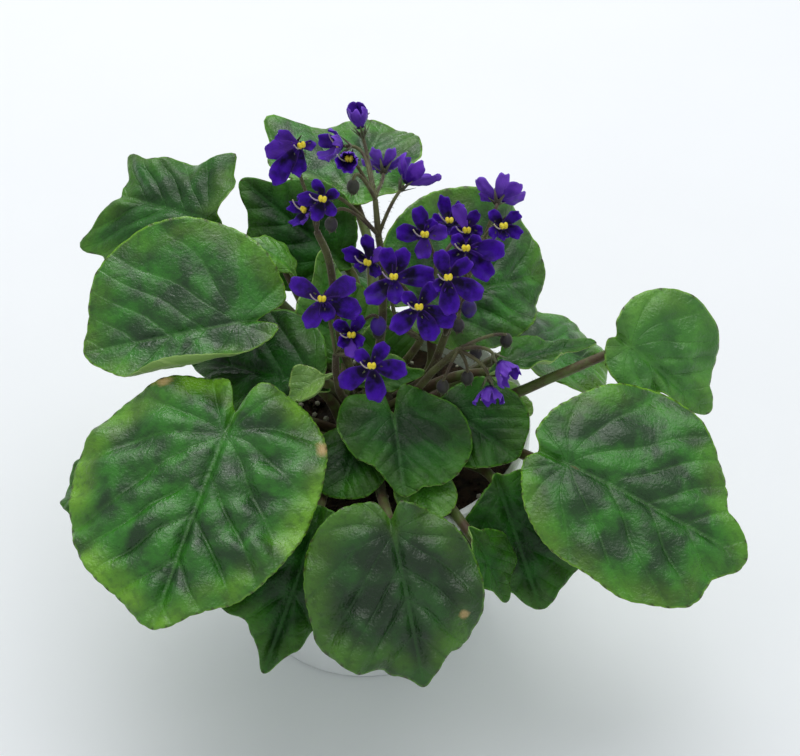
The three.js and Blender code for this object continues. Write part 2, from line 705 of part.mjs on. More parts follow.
/** A calyx behind the bloom, and the pedicel that curves up to it from a fork. */
function bloomOnPedicel(bloom, fork) {
  const { out, up, side, place } = bloomFrame(bloom);
  const { length, radius } = CALYX;
  const seat = place(0, 0, -BLOOM.thickness - 2 * GAP);
  const calyx = new THREE.ConeGeometry(radius, length, 5);
  calyx.applyMatrix4(
    new THREE.Matrix4()
      .makeBasis(side, out.clone().negate(), up.clone().negate())
      .setPosition(seat.clone().addScaledVector(out, -length / 2)),
  );
  const end = seat.clone().addScaledVector(out, -length / 2);
  const start = vec(...fork);
  const span = start.distanceTo(end);
  const leaving = start.clone().lerp(end, 0.3).add(vec(0, 0, 0.12 * span));
  const arriving = end.clone().addScaledVector(out, -0.3 * span);
  const curve = new THREE.CubicBezierCurve3(start, leaving, arriving, end);
  return [toSolid(calyx), toSolid(taperedTube(curve, TUBE_STEPS.pedicel, 4, () => STALK.pedicel))];
}

function budOnPedicel({ from, over, at }) {
  const width = 0.75 * STALK.bud;
  const bud = new THREE.IcosahedronGeometry(1, 0).scale(width, width, STALK.bud).translate(...at);
  const top = vec(...at).add(vec(0, 0, 0.4 * STALK.bud));
  const curve = new THREE.QuadraticBezierCurve3(vec(...from), vec(...over), top);
  return [toSolid(bud), toSolid(taperedTube(curve, TUBE_STEPS.pedicel, 4, () => STALK.pedicel))];
}

function buildStalk({ name, trunk, branches, forks, buds }) {
  const pieces = [
    stemTube(trunk, TUBE_STEPS.trunk, 6, STALK.base, STALK.fork),
    ...branches.map((branch) => stemTube(branch, TUBE_STEPS.branch, 5, STALK.fork, STALK.pedicel)),
    ...buds.flatMap(budOnPedicel),
  ];
  for (const { at, blooms } of forks) {
    for (const bloomName of blooms) {
      pieces.push(...bloomOnPedicel(BLOOMS.find((bloom) => bloom.name === bloomName), at));
    }
  }
  const whole = pieces.reduce((joined, piece) => joined.add(piece));
  addPiece(name, toGeometry(whole), stalkBrown);
}

buildPot();
buildSoil();
buildCrown();
LEAVES.forEach(buildLeaf);
BLOOMS.forEach(buildBloom);
STALKS.forEach(buildStalk);

export default violet;
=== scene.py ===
"""A potted african violet: glossy quilted leaves, fuzzy stalks and violet flowers in a plain white pot."""
import logging
import math
from collections.abc import Iterable, Sequence
from dataclasses import dataclass
from enum import Enum

import bmesh
import bpy
import numpy as np
from mathutils import Matrix, Vector


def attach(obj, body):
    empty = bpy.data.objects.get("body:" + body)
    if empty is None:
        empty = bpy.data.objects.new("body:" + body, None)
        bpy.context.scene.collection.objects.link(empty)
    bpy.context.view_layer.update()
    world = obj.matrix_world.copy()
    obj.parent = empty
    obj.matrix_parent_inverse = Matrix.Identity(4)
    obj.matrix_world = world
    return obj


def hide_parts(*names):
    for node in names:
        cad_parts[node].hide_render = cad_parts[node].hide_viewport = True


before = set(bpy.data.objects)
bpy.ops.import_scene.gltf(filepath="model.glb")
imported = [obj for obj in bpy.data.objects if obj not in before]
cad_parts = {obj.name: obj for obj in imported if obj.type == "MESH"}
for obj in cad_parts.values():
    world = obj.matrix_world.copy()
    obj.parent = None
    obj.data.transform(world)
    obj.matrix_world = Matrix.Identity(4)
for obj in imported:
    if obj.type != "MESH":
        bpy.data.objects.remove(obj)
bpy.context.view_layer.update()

MM = 0.001  # the tables below are in millimetres
BODY = "root"
FULL_TURN = 2 * math.pi
ANY_PHASE = (0, 6.28)  # a seeded wave starts anywhere in its turn
NEAR = 1e-4  # millimetres at which two points count as one

log = logging.getLogger("violet")

Triple = tuple[float, float, float]
Point = Vector | np.ndarray
Socket = bpy.types.NodeSocket

MATH = "ShaderNodeMath"
RANGE = "ShaderNodeMapRange"
MIX = "ShaderNodeMix"
NOISE = "ShaderNodeTexNoise"
STORED = "ShaderNodeAttribute"
PART = "ShaderNodeSeparateXYZ"
BUMP = "ShaderNodeBump"
SOFT = {"interpolation_type": "SMOOTHSTEP"}
COLOUR = {"data_type": "RGBA"}


# ---- small helpers


def direction(bearing: float, height: float) -> Vector:
    """Unit vector from a compass bearing (0 = +X, 90 = +Y) and a height angle, in degrees."""
    flat = math.cos(math.radians(height))
    turn = math.radians(bearing)
    return Vector((flat * math.cos(turn), flat * math.sin(turn), math.sin(math.radians(height))))


def linear(paint: str) -> tuple[float, float, float, float]:
    """Turns an sRGB hex value such as "2f5a26" into Blender's linear colour."""
    parts = [int(paint[i : i + 2], 16) / 255 for i in (0, 2, 4)]
    curve = [p / 12.92 if p <= 0.04045 else ((p + 0.055) / 1.055) ** 2.4 for p in parts]
    return (*curve, 1.0)


def per_metre(size: float) -> float:
    """The texture scale whose patches are `size` millimetres apart."""
    return 1 / (size * MM)


def hump(offset: np.ndarray, width: float) -> np.ndarray:
    """A smooth bump of height 1 at offset 0."""
    return np.exp(-((offset / width) ** 2))


def between(a: Point, b: Point, c: Point, d: Point, t: float | np.ndarray) -> Point:
    """Where a smooth run through four points is, the share `t` of the way from the second to the third."""
    return b + 0.5 * t * (c - a + t * (2 * a - 5 * b + 4 * c - d + t * (3 * (b - c) + d - a)))


def round_value(values: Sequence[float], angle: np.ndarray) -> np.ndarray:
    """Reads a smooth closed curve through evenly spaced values at angles in degrees."""
    count = len(values)
    place = (angle % 360) * count / 360
    index = np.floor(place).astype(int)
    t = place - index
    ring = np.asarray(values, dtype=float)
    return between(*(ring[(index + k) % count] for k in (-1, 0, 1, 2)), t)


def bend(distance: np.ndarray, reach: float, turn: float, power: float) -> tuple[np.ndarray, np.ndarray]:
    """Where a strip ends that turns by `turn` degrees over `reach`.

    Args:
        distance: how far along the flat strip each point lies, never negative.
        reach: the length over which the whole turn is made.
        turn: the turn in degrees.
        power: above 1 the turn gathers toward the far end.

    Returns:
        The distance along and the height of each point.
    """
    count = 12  # short straight pieces that stand for the curve
    steps = (np.arange(count) + 0.5)[:, None]
    piece = distance / count
    angle = math.radians(turn) * (steps * piece / reach) ** power
    return (np.cos(angle) * piece).sum(axis=0), (np.sin(angle) * piece).sum(axis=0)


def lumps(x: np.ndarray, y: np.ndarray, size: float, seed: int) -> np.ndarray:
    """Smooth seeded unevenness between about -1 and 1.

    Args:
        x: the first coordinate of each point, in millimetres.
        y: the second.
        size: the distance between neighbouring lumps in millimetres.
        seed: which unevenness.

    Returns:
        One value for each point.
    """
    count = 7  # waves that run in as many ways
    draw = np.random.default_rng(seed)
    waves = draw.normal(size=(count, 2))
    waves /= np.linalg.norm(waves, axis=1)[:, None]
    waves *= draw.uniform(0.6, 1.3, size=(count, 1)) * math.pi / size
    return np.sin(np.stack([x, y], axis=1) @ waves.T + draw.uniform(*ANY_PHASE, size=count)).sum(axis=1) / 3


def smooth_path(points: Sequence[Vector], steps: int) -> list[Vector]:
    """A smooth run of points through the given ones, with `steps` points between neighbours."""
    ends = [points[0] * 2 - points[1], *points, points[-1] * 2 - points[-2]]
    path = []
    for four in zip(ends, ends[1:], ends[2:], ends[3:]):
        path += [between(*four, step / steps) for step in range(steps)]
    return [*path, points[-1].copy()]


def cubic(start: Vector, leaving: Vector, arriving: Vector, end: Vector, steps: int) -> list[Vector]:
    """Evenly stepped points of a cubic curve."""
    path = []
    for step in range(steps + 1):
        t = step / steps
        s = 1 - t
        path.append(s**3 * start + 3 * s * s * t * leaving + 3 * s * t * t * arriving + t**3 * end)
    return path


def upright_at(origin: Vector, way: Vector) -> Matrix:
    """The matrix that turns +Z to `way` and moves it to an origin."""
    return Matrix.Translation(origin) @ way.to_track_quat("Z", "Y").to_matrix().to_4x4()


# ---- finishes


class Recipe:
    """A material being made; `here` is the place on the object."""

    def __init__(self, name: str) -> None:
        """Starts a material of that name."""
        self.material = bpy.data.materials.new(name)
        self.material.use_nodes = True
        self.tree = self.material.node_tree
        self.tree.nodes.clear()
        self.here = self.add("ShaderNodeTexCoord", (), "Object")

    def add(
        self, kind: str, inputs: dict[str | int, object] | tuple, output: str | int = 0, **settings: object
    ) -> Socket | None:
        """Adds a node.

        Args:
            kind: the node's type name.
            inputs: a constant or the output socket that feeds it, for each input, by name or in order.
            output: the output that is wanted.
            **settings: the node's own properties.

        Returns:
            That output socket, or None for a node that has none.
        """
        node = self.tree.nodes.new(kind)
        for name, value in settings.items():
            setattr(node, name, value)
        for name, value in inputs.items() if isinstance(inputs, dict) else enumerate(inputs):
            if isinstance(value, Socket):
                self.tree.links.new(value, node.inputs[name])
            else:
                node.inputs[name].default_value = value
        return node.outputs[output] if node.outputs else None

    def close(self, inputs: dict[str, object], down: float, spread: float, hairs: str) -> bpy.types.Material:
        """Ends the material with its surface shader.

        Args:
            inputs: the shader's inputs, without its sheen.
            down: how much sheen the down on the surface gives.
            spread: how rough that sheen is.
            hairs: the down's colour.

        Returns:
            The finished material.
        """
        sheen = {"Sheen Weight": down, "Sheen Roughness": spread, "Sheen Tint": linear(hairs)}
        surface = self.add("ShaderNodeBsdfPrincipled", {**inputs, **sheen})
        self.add("ShaderNodeOutputMaterial", {"Surface": surface})
        return self.material


@dataclass(frozen=True)
class LeafFace:
    """The upper side of a leaf: living skin under thin wax, grown in quilts between its veins.

    The wax gives broken grey highlights over a patchy green that yellows at the margin.
    """

    name: str
    deep: str = "0f3a08"
    mid: str = "2f7a15"
    margin: str = "7cb422"
    vein: str = "4a8a2a"
    band: float = 0.35  # how strongly a broad band along the margin turns yellow
    rough: float = 0.31
    ior: float = 1.53

    DRY = "b39a63"
    TOOTH = "2e2412"
    HAIRS = "c8d8c8"
    # Size in millimetres, detail and distortion of the cloudy patches, the broad clouds, the
    # freckles, the pores (drawn coarse), the net of fine veins and the dull spots in the wax.
    CLOUDS = ((11, 5, 0.4), (24, 2, 0), (2.6, 3, 0), (0.9, 2, 0), (4.5, 4, 1), (5, 3, 0))
    BAND_WIDTH = 13.0  # millimetres, like the next three
    EDGE_WIDTH = 1.1
    MIDRIB = (0.15, 0.8)
    RELIEF = 0.4
    RIB = (0.015, 0.085)  # the half width of a side vein, as a share of the way to the next

    def make(self) -> bpy.types.Material:
        """Deep green with a yellow-green margin, lighter veins and a broken grey sheen."""
        r = Recipe(self.name)
        patch, broad, fine, pores, net, dull = (
            r.add(NOISE, {"Vector": r.here, "Scale": per_metre(size), "Detail": detail, "Distortion": twist})
            for size, detail, twist in self.CLOUDS
        )
        flat = r.add(STORED, (), "Vector", attribute_name="leaf_map")
        across = r.add(PART, (flat,), 1)
        across = r.add(MATH, (across,), operation="ABSOLUTE")
        inset = r.add(PART, (flat,), 2)
        phase, scorch, tooth = (
            r.add(STORED, (), "Fac", attribute_name=name) for name in ("vein_phase", "scorch", "tooth")
        )
        beside = r.add(MATH, (phase, 0.5), operation="PINGPONG")
        rib, middle = (
            r.add(RANGE, (where, near, far, 1.0, 0.0), **SOFT)
            for where, (near, far) in ((beside, self.RIB), (across, self.MIDRIB))
        )
        band = r.add(RANGE, (inset, 0.0, self.BAND_WIDTH, self.band, 0.0), **SOFT)
        broken = r.add(RANGE, (broad, 0.36, 0.6, 0.15, 1.0), **SOFT)
        band = r.add(MATH, (band, broken), operation="MULTIPLY")
        edge = r.add(RANGE, (inset, 0.0, self.EDGE_WIDTH, 0.8, 0.0), **SOFT)
        rim = r.add(MATH, (band, edge), operation="MAXIMUM")
        side, mid = (
            r.add(MATH, (line, part), operation="MULTIPLY")
            for line, part in ((rib, 0.16), (middle, 0.3))
        )
        lines = r.add(MATH, (side, mid), operation="MAXIMUM")
        freckle = r.add(RANGE, (fine, 0.45, 0.72, 0.0, 0.35), **SOFT)
        body = r.add(RANGE, (patch, 0.35, 0.68), **SOFT)
        body = r.add(MIX, {0: body, 6: linear(self.deep), 7: linear(self.mid)}, 2, **COLOUR)
        for share, paint in (
            (rim, self.margin),
            (lines, self.vein),
            (freckle, self.deep),
            (scorch, self.DRY),
            (tooth, self.TOOTH),
        ):
            body = r.add(MIX, {0: share, 6: body, 7: linear(paint)}, 2, **COLOUR)
        skin = r.add(MATH, (net, 1.7), operation="MULTIPLY")
        for part, height in ((pores, 0.9), (rib, -0.35), (middle, 0.3)):
            skin = r.add(MATH, (part, height, skin), operation="MULTIPLY_ADD")
        gloss = r.add(RANGE, (dull, 0.3, 0.7, self.rough - 0.06, self.rough + 0.12))
        bump = r.add(BUMP, {"Height": skin, "Distance": self.RELIEF * MM, "Strength": 0.85})
        surface = {"Base Color": body, "Roughness": gloss, "Normal": bump, "IOR": self.ior}
        return r.close(surface, 0.03, 0.5, self.HAIRS)


@dataclass(frozen=True)
class LeafReverse:
    """The under side of a leaf: matt skin under down, which looks pale, with its veins standing out."""

    name: str
    flesh: str = "84a852"
    blotch: str = "6a9042"
    rib: str = "9cbc68"

    PATCH = 9  # millimetres, like the next two; the nap is drawn coarse
    NAP = 0.7
    RELIEF = 0.4

    def make(self) -> bpy.types.Material:
        """Pale green with lighter ribs and a soft nap."""
        r = Recipe(self.name)
        phase = r.add(STORED, (), "Fac", attribute_name="vein_phase")
        beside = r.add(MATH, (phase, 0.5), operation="PINGPONG")
        rib = r.add(RANGE, (beside, 0.02, 0.09, 0.7, 0.0), **SOFT)
        patch = r.add(NOISE, {"Vector": r.here, "Scale": per_metre(self.PATCH), "Detail": 3.0})
        patch = r.add(RANGE, (patch, 0.35, 0.7, 0.0, 0.5), **SOFT)
        nap = r.add(NOISE, {"Vector": r.here, "Scale": per_metre(self.NAP), "Detail": 2.0})
        body = r.add(MIX, {0: patch, 6: linear(self.flesh), 7: linear(self.blotch)}, 2, **COLOUR)
        body = r.add(MIX, {0: rib, 6: body, 7: linear(self.rib)}, 2, **COLOUR)
        skin = r.add(MATH, (nap, 0.4, rib), operation="MULTIPLY_ADD")
        bump = r.add(BUMP, {"Height": skin, "Distance": self.RELIEF * MM, "Strength": 0.6})
        return r.close({"Base Color": body, "Roughness": 0.62, "Normal": bump}, 0.25, 0.5, "e4ecd0")


@dataclass(frozen=True)
class PetalSkin:
    """A petal's skin: tiny cone-shaped cells, which make the colour deep and velvety."""

    name: str
    deep: str
    light: str
    pale: str
    nap: float

    CLOUD = 3  # millimetres, like the next two; the grain is drawn coarse
    GRAIN = 0.4
    RELIEF = 0.12
    LINES = 2.2  # fine lines for each millimetre of a petal's width

    def make(self) -> bpy.types.Material:
        """Darkest at the throat, with fine lines that run to the petal's end and a paler edge that is a
        painted highlight along the rim.
        """
        r = Recipe(self.name)
        flat = r.add(STORED, (), "Vector", attribute_name="petal_map")
        along, across, pale = (r.add(PART, (flat,), output) for output in range(3))
        # The paler rim is a painted highlight along each petal's edge.
        edge = r.add(STORED, (), "Fac", attribute_name="petal_rim_highlight")
        edge = r.add(MATH, (edge, 0.3), operation="MULTIPLY")
        lines = r.add(MATH, (across, self.LINES), operation="MULTIPLY")
        lines = r.add(MATH, (lines, 0.5), operation="PINGPONG")
        vein = r.add(RANGE, (lines, 0.0, 0.12, 0.35, 0.0), **SOFT)
        cloud = r.add(NOISE, {"Vector": r.here, "Scale": per_metre(self.CLOUD), "Detail": 3.0})
        cloud = r.add(RANGE, (cloud, 0.3, 0.7, -0.35, 0.35), **SOFT)
        tone = r.add(RANGE, (along, 0.2, 0.95, 0.0, 0.85), **SOFT)
        tone = r.add(MATH, (tone, cloud), operation="ADD", use_clamp=True)
        body = r.add(MIX, {0: tone, 6: linear(self.deep), 7: linear(self.light)}, 2, **COLOUR)
        # Each petal's paleness, partly painted sheen, lightens it toward the pale colour, as the rim's
        # painted highlight does.
        for share, paint in ((edge, self.pale), (pale, self.pale), (vein, self.deep)):
            body = r.add(MIX, {0: share, 6: body, 7: linear(paint)}, 2, **COLOUR)
        grain = r.add(NOISE, {"Vector": r.here, "Scale": per_metre(self.GRAIN), "Detail": 2.0})
        skin = r.add(MATH, (lines, 0.8, grain), operation="MULTIPLY_ADD")
        bump = r.add(BUMP, {"Height": skin, "Distance": self.RELIEF * MM, "Strength": 0.5})
        surface = {"Base Color": body, "Roughness": 0.38, "Specular IOR Level": 0.12, "Normal": bump}
        return r.close(surface, self.nap, 0.4, "5a30e0")


@dataclass(frozen=True)
class TwoTone:
    """Two close tones in soft patches over one grain, for the stems, the small parts and the pot.

    Pale down, where there is some, gives a soft light edge.
    """

    name: str
    first: str
    second: str
    patch: float  # millimetres, like the next two; the finest grains are drawn coarse
    grit: float
    depth: float
    rough: float
    ior: float = 1.45
    bump: float = 0.7
    down: float = 0.0

    HAIRS = "cfc9b4"

    def make(self) -> bpy.types.Material:
        """Mixes the two tones and roughens the surface by the grit."""
        r = Recipe(self.name)
        patch = r.add(NOISE, {"Vector": r.here, "Scale": per_metre(self.patch), "Detail": 3.0})
        patch = r.add(RANGE, (patch, 0.35, 0.65), **SOFT)
        grit = r.add(NOISE, {"Vector": r.here, "Scale": per_metre(self.grit), "Detail": 2.0})
        body = r.add(MIX, {0: patch, 6: linear(self.first), 7: linear(self.second)}, 2, **COLOUR)
        bump = r.add(BUMP, {"Height": grit, "Distance": self.depth * MM, "Strength": self.bump})
        surface = {"Base Color": body, "Roughness": self.rough, "Normal": bump, "IOR": self.ior}
        return r.close(surface, self.down, 0.4, self.HAIRS)


STEM = (6, 0.5, 0.15, 0.58, 1.5, 0.6)  # from the patches to the bump


class Finish(Enum):
    """Every finish on the plant, its pot and the studio floor."""

    # Waxy, quilted leaf skin, yellow where the sun caught it; the darker copies below are painted shade for
    # the leaves that lie in shade.
    LEAF = LeafFace("leaf_face_waxy_green")
    LEAF_SUNNY = LeafFace("leaf_face_yellow_margin", margin="73ab22", band=0.9)
    # The same skin darkened as painted shade, for the leaves in the shade of others; the second keeps a
    # yellow margin.
    LEAF_PAINTED_SHADE = LeafFace(
        "leaf_face_painted_shade_green", "0b2d06", "1c5610", "589426", "2a681a", rough=0.34, ior=1.33
    )
    LEAF_PAINTED_SHADE_SUNNY = LeafFace(
        "leaf_face_painted_shade_green_yellow_margin", "0d2c07", "205214", "5c911f", "2c661c", band=0.5, ior=1.5
    )
    # A milder painted shade, for the back left leaf.
    LEAF_SHADED = LeafFace("leaf_face_mid_green_painted_shade", "123c09", "28641a", "6a9e24", "38741f", ior=1.4)
    LEAF_BRIGHT = LeafFace("leaf_face_young_green", "2b661a", "468a28", "7fb038")
    LEAF_PALE = LeafFace("leaf_face_pale_green", "4c7c28", "6c9a3c", "90b452", "84a850")
    REVERSE = LeafReverse("leaf_reverse_downy")
    # The cut edge of the blade lets light through, so it reads as a thin pale line.
    RIM = TwoTone("leaf_rim_pale", "8fb05c", "7a9f48", 5.0, 0.6, 0.05, 0.5)
    # Juicy stems under down: a soft pale halo round a brown-green core.
    PETIOLE = TwoTone("petiole_flushed_brown", "55662c", "4c3a22", *STEM, 0.4)
    STALK = TwoTone("flower_stalk_flushed_brown", "565a2c", "3c2e1c", *STEM, 0.5)
    SEPAL = TwoTone("sepal_olive_down", "4a5230", "3c3428", *STEM, 0.4)
    BUD = TwoTone("bud_dark_down", "2c2e20", "241c28", *STEM, 0.25)
    BUD_SHOWING = TwoTone("bud_petals_showing", "3c108c", "1a0444", *STEM, 0.05)
    # Petal skin: almost black in the throat and a bright violet at the end, with a painted highlight on the
    # rim; paler on the back.
    PETAL = PetalSkin("petal_violet_velvet", "0a0024", "3f0c9e", "7040c4", 0.06)
    PETAL_BACK = PetalSkin("petal_reverse_violet", "3a1284", "6a36bc", "8660d0", 0.15)
    # Dusty pollen sacs, a bare fleshy style and a dark throat: small matt parts.
    ANTHER = TwoTone("anther_pollen_yellow", "d8c21c", "f0e040", 0.8, 0.2, 0.05, 0.55)
    STYLE = TwoTone("style_pale_flesh", "b9b48c", "a58fb4", 2.0, 0.3, 0.03, 0.45)
    THROAT = TwoTone("flower_throat_dark", "150638", "1f0a4e", 0.8, 0.3, 0.05, 0.6)
    # Injection-moulded polypropylene: slightly waxy, milky white, with a fine spark-eroded grain.
    POT = TwoTone("pot_polypropylene_white", "e6e9e8", "dde1df", 30, 0.5, 0.02, 0.4, 1.49)
    # Milled peat and expanded perlite: dark crumbs that swallow light, with dull white grains.
    SOIL = TwoTone("potting_mix_peat", "20170f", "3b2a1c", 3.0, 1.1, 0.8, 0.95)
    PERLITE = TwoTone("perlite_expanded_white", "d6d2c6", "bfb9a8", 2.0, 0.8, 0.3, 0.85)
    # Cork grown over old leaf scars: rough, dry and brown.
    CROWN = TwoTone("crown_corky_bark", "4b4529", "2f2717", 3.0, 0.9, 0.5, 0.8)
    # Matt background paper: an even pale ground.
    FLOOR = TwoTone("studio_paper_pale", "eef0f2", "edeff1", 80, 1.5, 0.02, 0.8)


class Palette:
    """Makes each finish once, the first time a piece asks for it."""

    def __init__(self) -> None:
        """Starts with nothing made."""
        self.made: dict[Finish, bpy.types.Material] = {}

    def get(self, finish: Finish) -> bpy.types.Material:
        """The material of a finish."""
        if finish not in self.made:
            self.made[finish] = finish.value.make()
        return self.made[finish]


PALETTE = Palette()


# ---- making pieces


def in_scene(name: str, data: bpy.types.ID) -> bpy.types.Object:
    """Puts a mesh, a light or a camera into the scene as an object."""
    thing = bpy.data.objects.new(name, data)
    bpy.context.scene.collection.objects.link(thing)
    return thing


def as_mesh(name: str, bm: bmesh.types.BMesh) -> bpy.types.Mesh:
    """Turns a bmesh into a mesh and frees it."""
    mesh = bpy.data.meshes.new(name)
    bm.to_mesh(mesh)
    bm.free()
    return mesh


def new_piece(
    name: str, bm: bmesh.types.BMesh, finishes: Sequence[Finish], slot: str, *nodes: str
) -> bpy.types.Object:
    """Turns a finished bmesh, in millimetres, into a piece of the plant.

    Args:
        name: the piece's name.
        bm: its mesh, which is freed here.
        finishes: its finishes, in the order of its faces' material numbers.
        slot: the record's material slot; not used.
        *nodes: the CAD nodes that it stands for.

    Returns:
        The new object, riding on the plant's one body.
    """
    bmesh.ops.scale(bm, vec=(MM, MM, MM), verts=bm.verts)
    for face in bm.faces:
        face.smooth = True
    mesh = as_mesh(name, bm)
    piece = in_scene(name, mesh)
    for finish in finishes:
        mesh.materials.append(PALETTE.get(finish))
    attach(piece, BODY)
    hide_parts(*nodes)
    log.info("%s: %d faces", name, len(mesh.polygons))
    return piece


def store(piece: bpy.types.Object, name: str, values: np.ndarray) -> None:
    """Stores one number or one vector for each vertex on a piece's mesh."""
    kind, key = ("FLOAT", "value") if values.ndim == 1 else ("FLOAT_VECTOR", "vector")
    made = piece.data.attributes.new(name, kind, "POINT")
    made.data.foreach_set(key, np.ascontiguousarray(values, dtype=np.float32).ravel())


THIN_SHARE = 0.08  # the outer part of a sheet, over which it thins
THIN_STEPS = 4
THIN_EDGE = 0.35  # as a part of the full thickness


def thicken(piece: bpy.types.Object, share: np.ndarray, thickness: float, under: int, rim: int) -> None:
    """Gives an open sheet its thickness, set back from its face and thinner at the margin.

    Args:
        piece: the sheet.
        share: how far out each vertex lies, from 0 in the middle to 1 at the margin.
        thickness: in millimetres.
        under: how far the under side's material lies after the face's.
        rim: the same for the rim's.
    """
    group = piece.vertex_groups.new(name="full")
    levels = np.round(np.clip((1 - share) / THIN_SHARE, 0, 1) * THIN_STEPS)
    for level in range(THIN_STEPS + 1):
        group.add([int(i) for i in np.nonzero(levels == level)[0]], level / THIN_STEPS, "REPLACE")
    solid = piece.modifiers.new("thickness", "SOLIDIFY")
    solid.thickness = thickness * MM
    solid.offset = -1
    solid.material_offset = under
    solid.material_offset_rim = rim
    solid.vertex_group = "full"
    solid.thickness_vertex_group = THIN_EDGE


def spin(bm: bmesh.types.BMesh, line: Sequence[Triple], steps: int, near: float) -> None:
    """Spins a line of points once round the Z axis and joins the points nearer than `near`."""
    verts = [bm.verts.new(place) for place in line]
    edges = [bm.edges.new(pair) for pair in zip(verts, verts[1:])]
    turn = {"cent": (0, 0, 0), "axis": (0, 0, 1), "angle": FULL_TURN, "steps": steps, "use_merge": True}
    bmesh.ops.spin(bm, geom=[*verts, *edges], **turn)
    bmesh.ops.remove_doubles(bm, verts=bm.verts, dist=near)


def round_sheet(rings: int, around: int) -> bmesh.types.BMesh:
    """A flat disc of radius 1 in rings, made by spinning one spoke; its face looks to +Z."""
    bm = bmesh.new()
    spin(bm, [(k / rings, 0, 0) for k in range(rings + 1)], around, 1e-5)
    bm.normal_update()
    if sum(face.normal.z for face in bm.faces) < 0:
        bmesh.ops.reverse_faces(bm, faces=bm.faces)
    return bm


def lathe(profile: Sequence[tuple[float, float]], steps: int, centre: float = 0.0) -> bmesh.types.BMesh:
    """A closed turned solid from a profile of (radius, height) that starts and ends on the axis."""
    bm = bmesh.new()
    spin(bm, [(radius, 0, height) for radius, height in profile], steps, NEAR)
    bmesh.ops.recalc_face_normals(bm, faces=bm.faces)
    bmesh.ops.translate(bm, vec=(centre, 0, 0), verts=bm.verts)
    return bm


def coordinates(bm: bmesh.types.BMesh) -> np.ndarray:
    """The places of a bmesh's vertices as an array."""
    return np.array([vert.co[:] for vert in bm.verts])


def put(bm: bmesh.types.BMesh, places: np.ndarray) -> None:
    """Moves the vertices of a bmesh to the given places."""
    for vert, place in zip(bm.verts, places):
        vert.co = place


@dataclass(frozen=True)
class Tube:
    """A round stem: the middle of each cross-section and its radius."""

    path: Sequence[Vector]
    radii: Sequence[float]

    @classmethod
    def tapered(cls, path: Sequence[Vector], start: float, end: float) -> "Tube":
        """A tube whose radius runs evenly from start to end."""
        last = len(path) - 1
        return cls(path, [start + (end - start) * i / last for i in range(last + 1)])


def add_tubes(bm: bmesh.types.BMesh, tubes: Iterable[Tube], roundness: int) -> None:
    """Sweeps each tube as a bevelled curve with closed ends and adds its skin to a bmesh."""
    curve = bpy.data.curves.new("stems", "CURVE")
    curve.dimensions = "3D"
    curve.bevel_depth = 1
    curve.bevel_resolution = roundness
    curve.use_fill_caps = True
    for tube in tubes:
        spline = curve.splines.new("POLY")
        spline.points.add(len(tube.path) - 1)
        for point, place, radius in zip(spline.points, tube.path, tube.radii):
            point.co = (*place, 1)
            point.radius = radius
    holder = bpy.data.objects.new("stems", curve)
    skin = bpy.data.meshes.new_from_object(holder)
    before = len(bm.faces)
    bm.from_mesh(skin)
    bm.faces.ensure_lookup_table()
    bmesh.ops.remove_doubles(bm, verts=list({v for f in bm.faces[before:] for v in f.verts}), dist=NEAR)
    bm.faces.ensure_lookup_table()
    bmesh.ops.recalc_face_normals(bm, faces=bm.faces[before:])
    bpy.data.objects.remove(holder)
    bpy.data.meshes.remove(skin)
    bpy.data.curves.remove(curve)


# A hair's shape; its length varies within these sizes, and it leans along the stem.
HAIR = {"cap_ends": True, "segments": 3, "radius1": 0.07, "radius2": 0.012}
HAIR_SIZES = (0.6, 1.25)
HAIR_LEAN = (-0.3, 0.3)


def add_down(bm: bmesh.types.BMesh, tubes: Sequence[Tube], spacing: float, length: float, seed: int) -> None:
    """Stands fine short hairs, three-sided spikes, on tubes.

    Args:
        bm: the mesh to add to.
        tubes: the stems that carry the hairs.
        spacing: millimetres of stem for each hair.
        length: the usual length of a hair in millimetres.
        seed: which scatter.
    """
    draw = np.random.default_rng(seed)
    for tube in tubes:
        for i, (a, b) in enumerate(zip(tube.path, tube.path[1:])):
            way = b - a
            side = way.orthogonal().normalized()
            for _ in range(draw.poisson(way.length / spacing)):
                share, turn, size = draw.uniform(), draw.uniform(0, FULL_TURN), draw.uniform(*HAIR_SIZES)
                out = Matrix.Rotation(turn, 3, way) @ side + way.normalized() * draw.uniform(*HAIR_LEAN)
                root = a + way * share + out * (tube.radii[i] * 0.9 + 0.5 * size * length)
                seat = upright_at(root, out.normalized())
                bmesh.ops.create_cone(bm, depth=size * length, matrix=seat, **HAIR)


# ---- leaves

CROWN_X = 4.0
CROWN_RADIUS = 9.0
CROWN_BOTTOM = 66.0
CROWN_TOP = 100.0


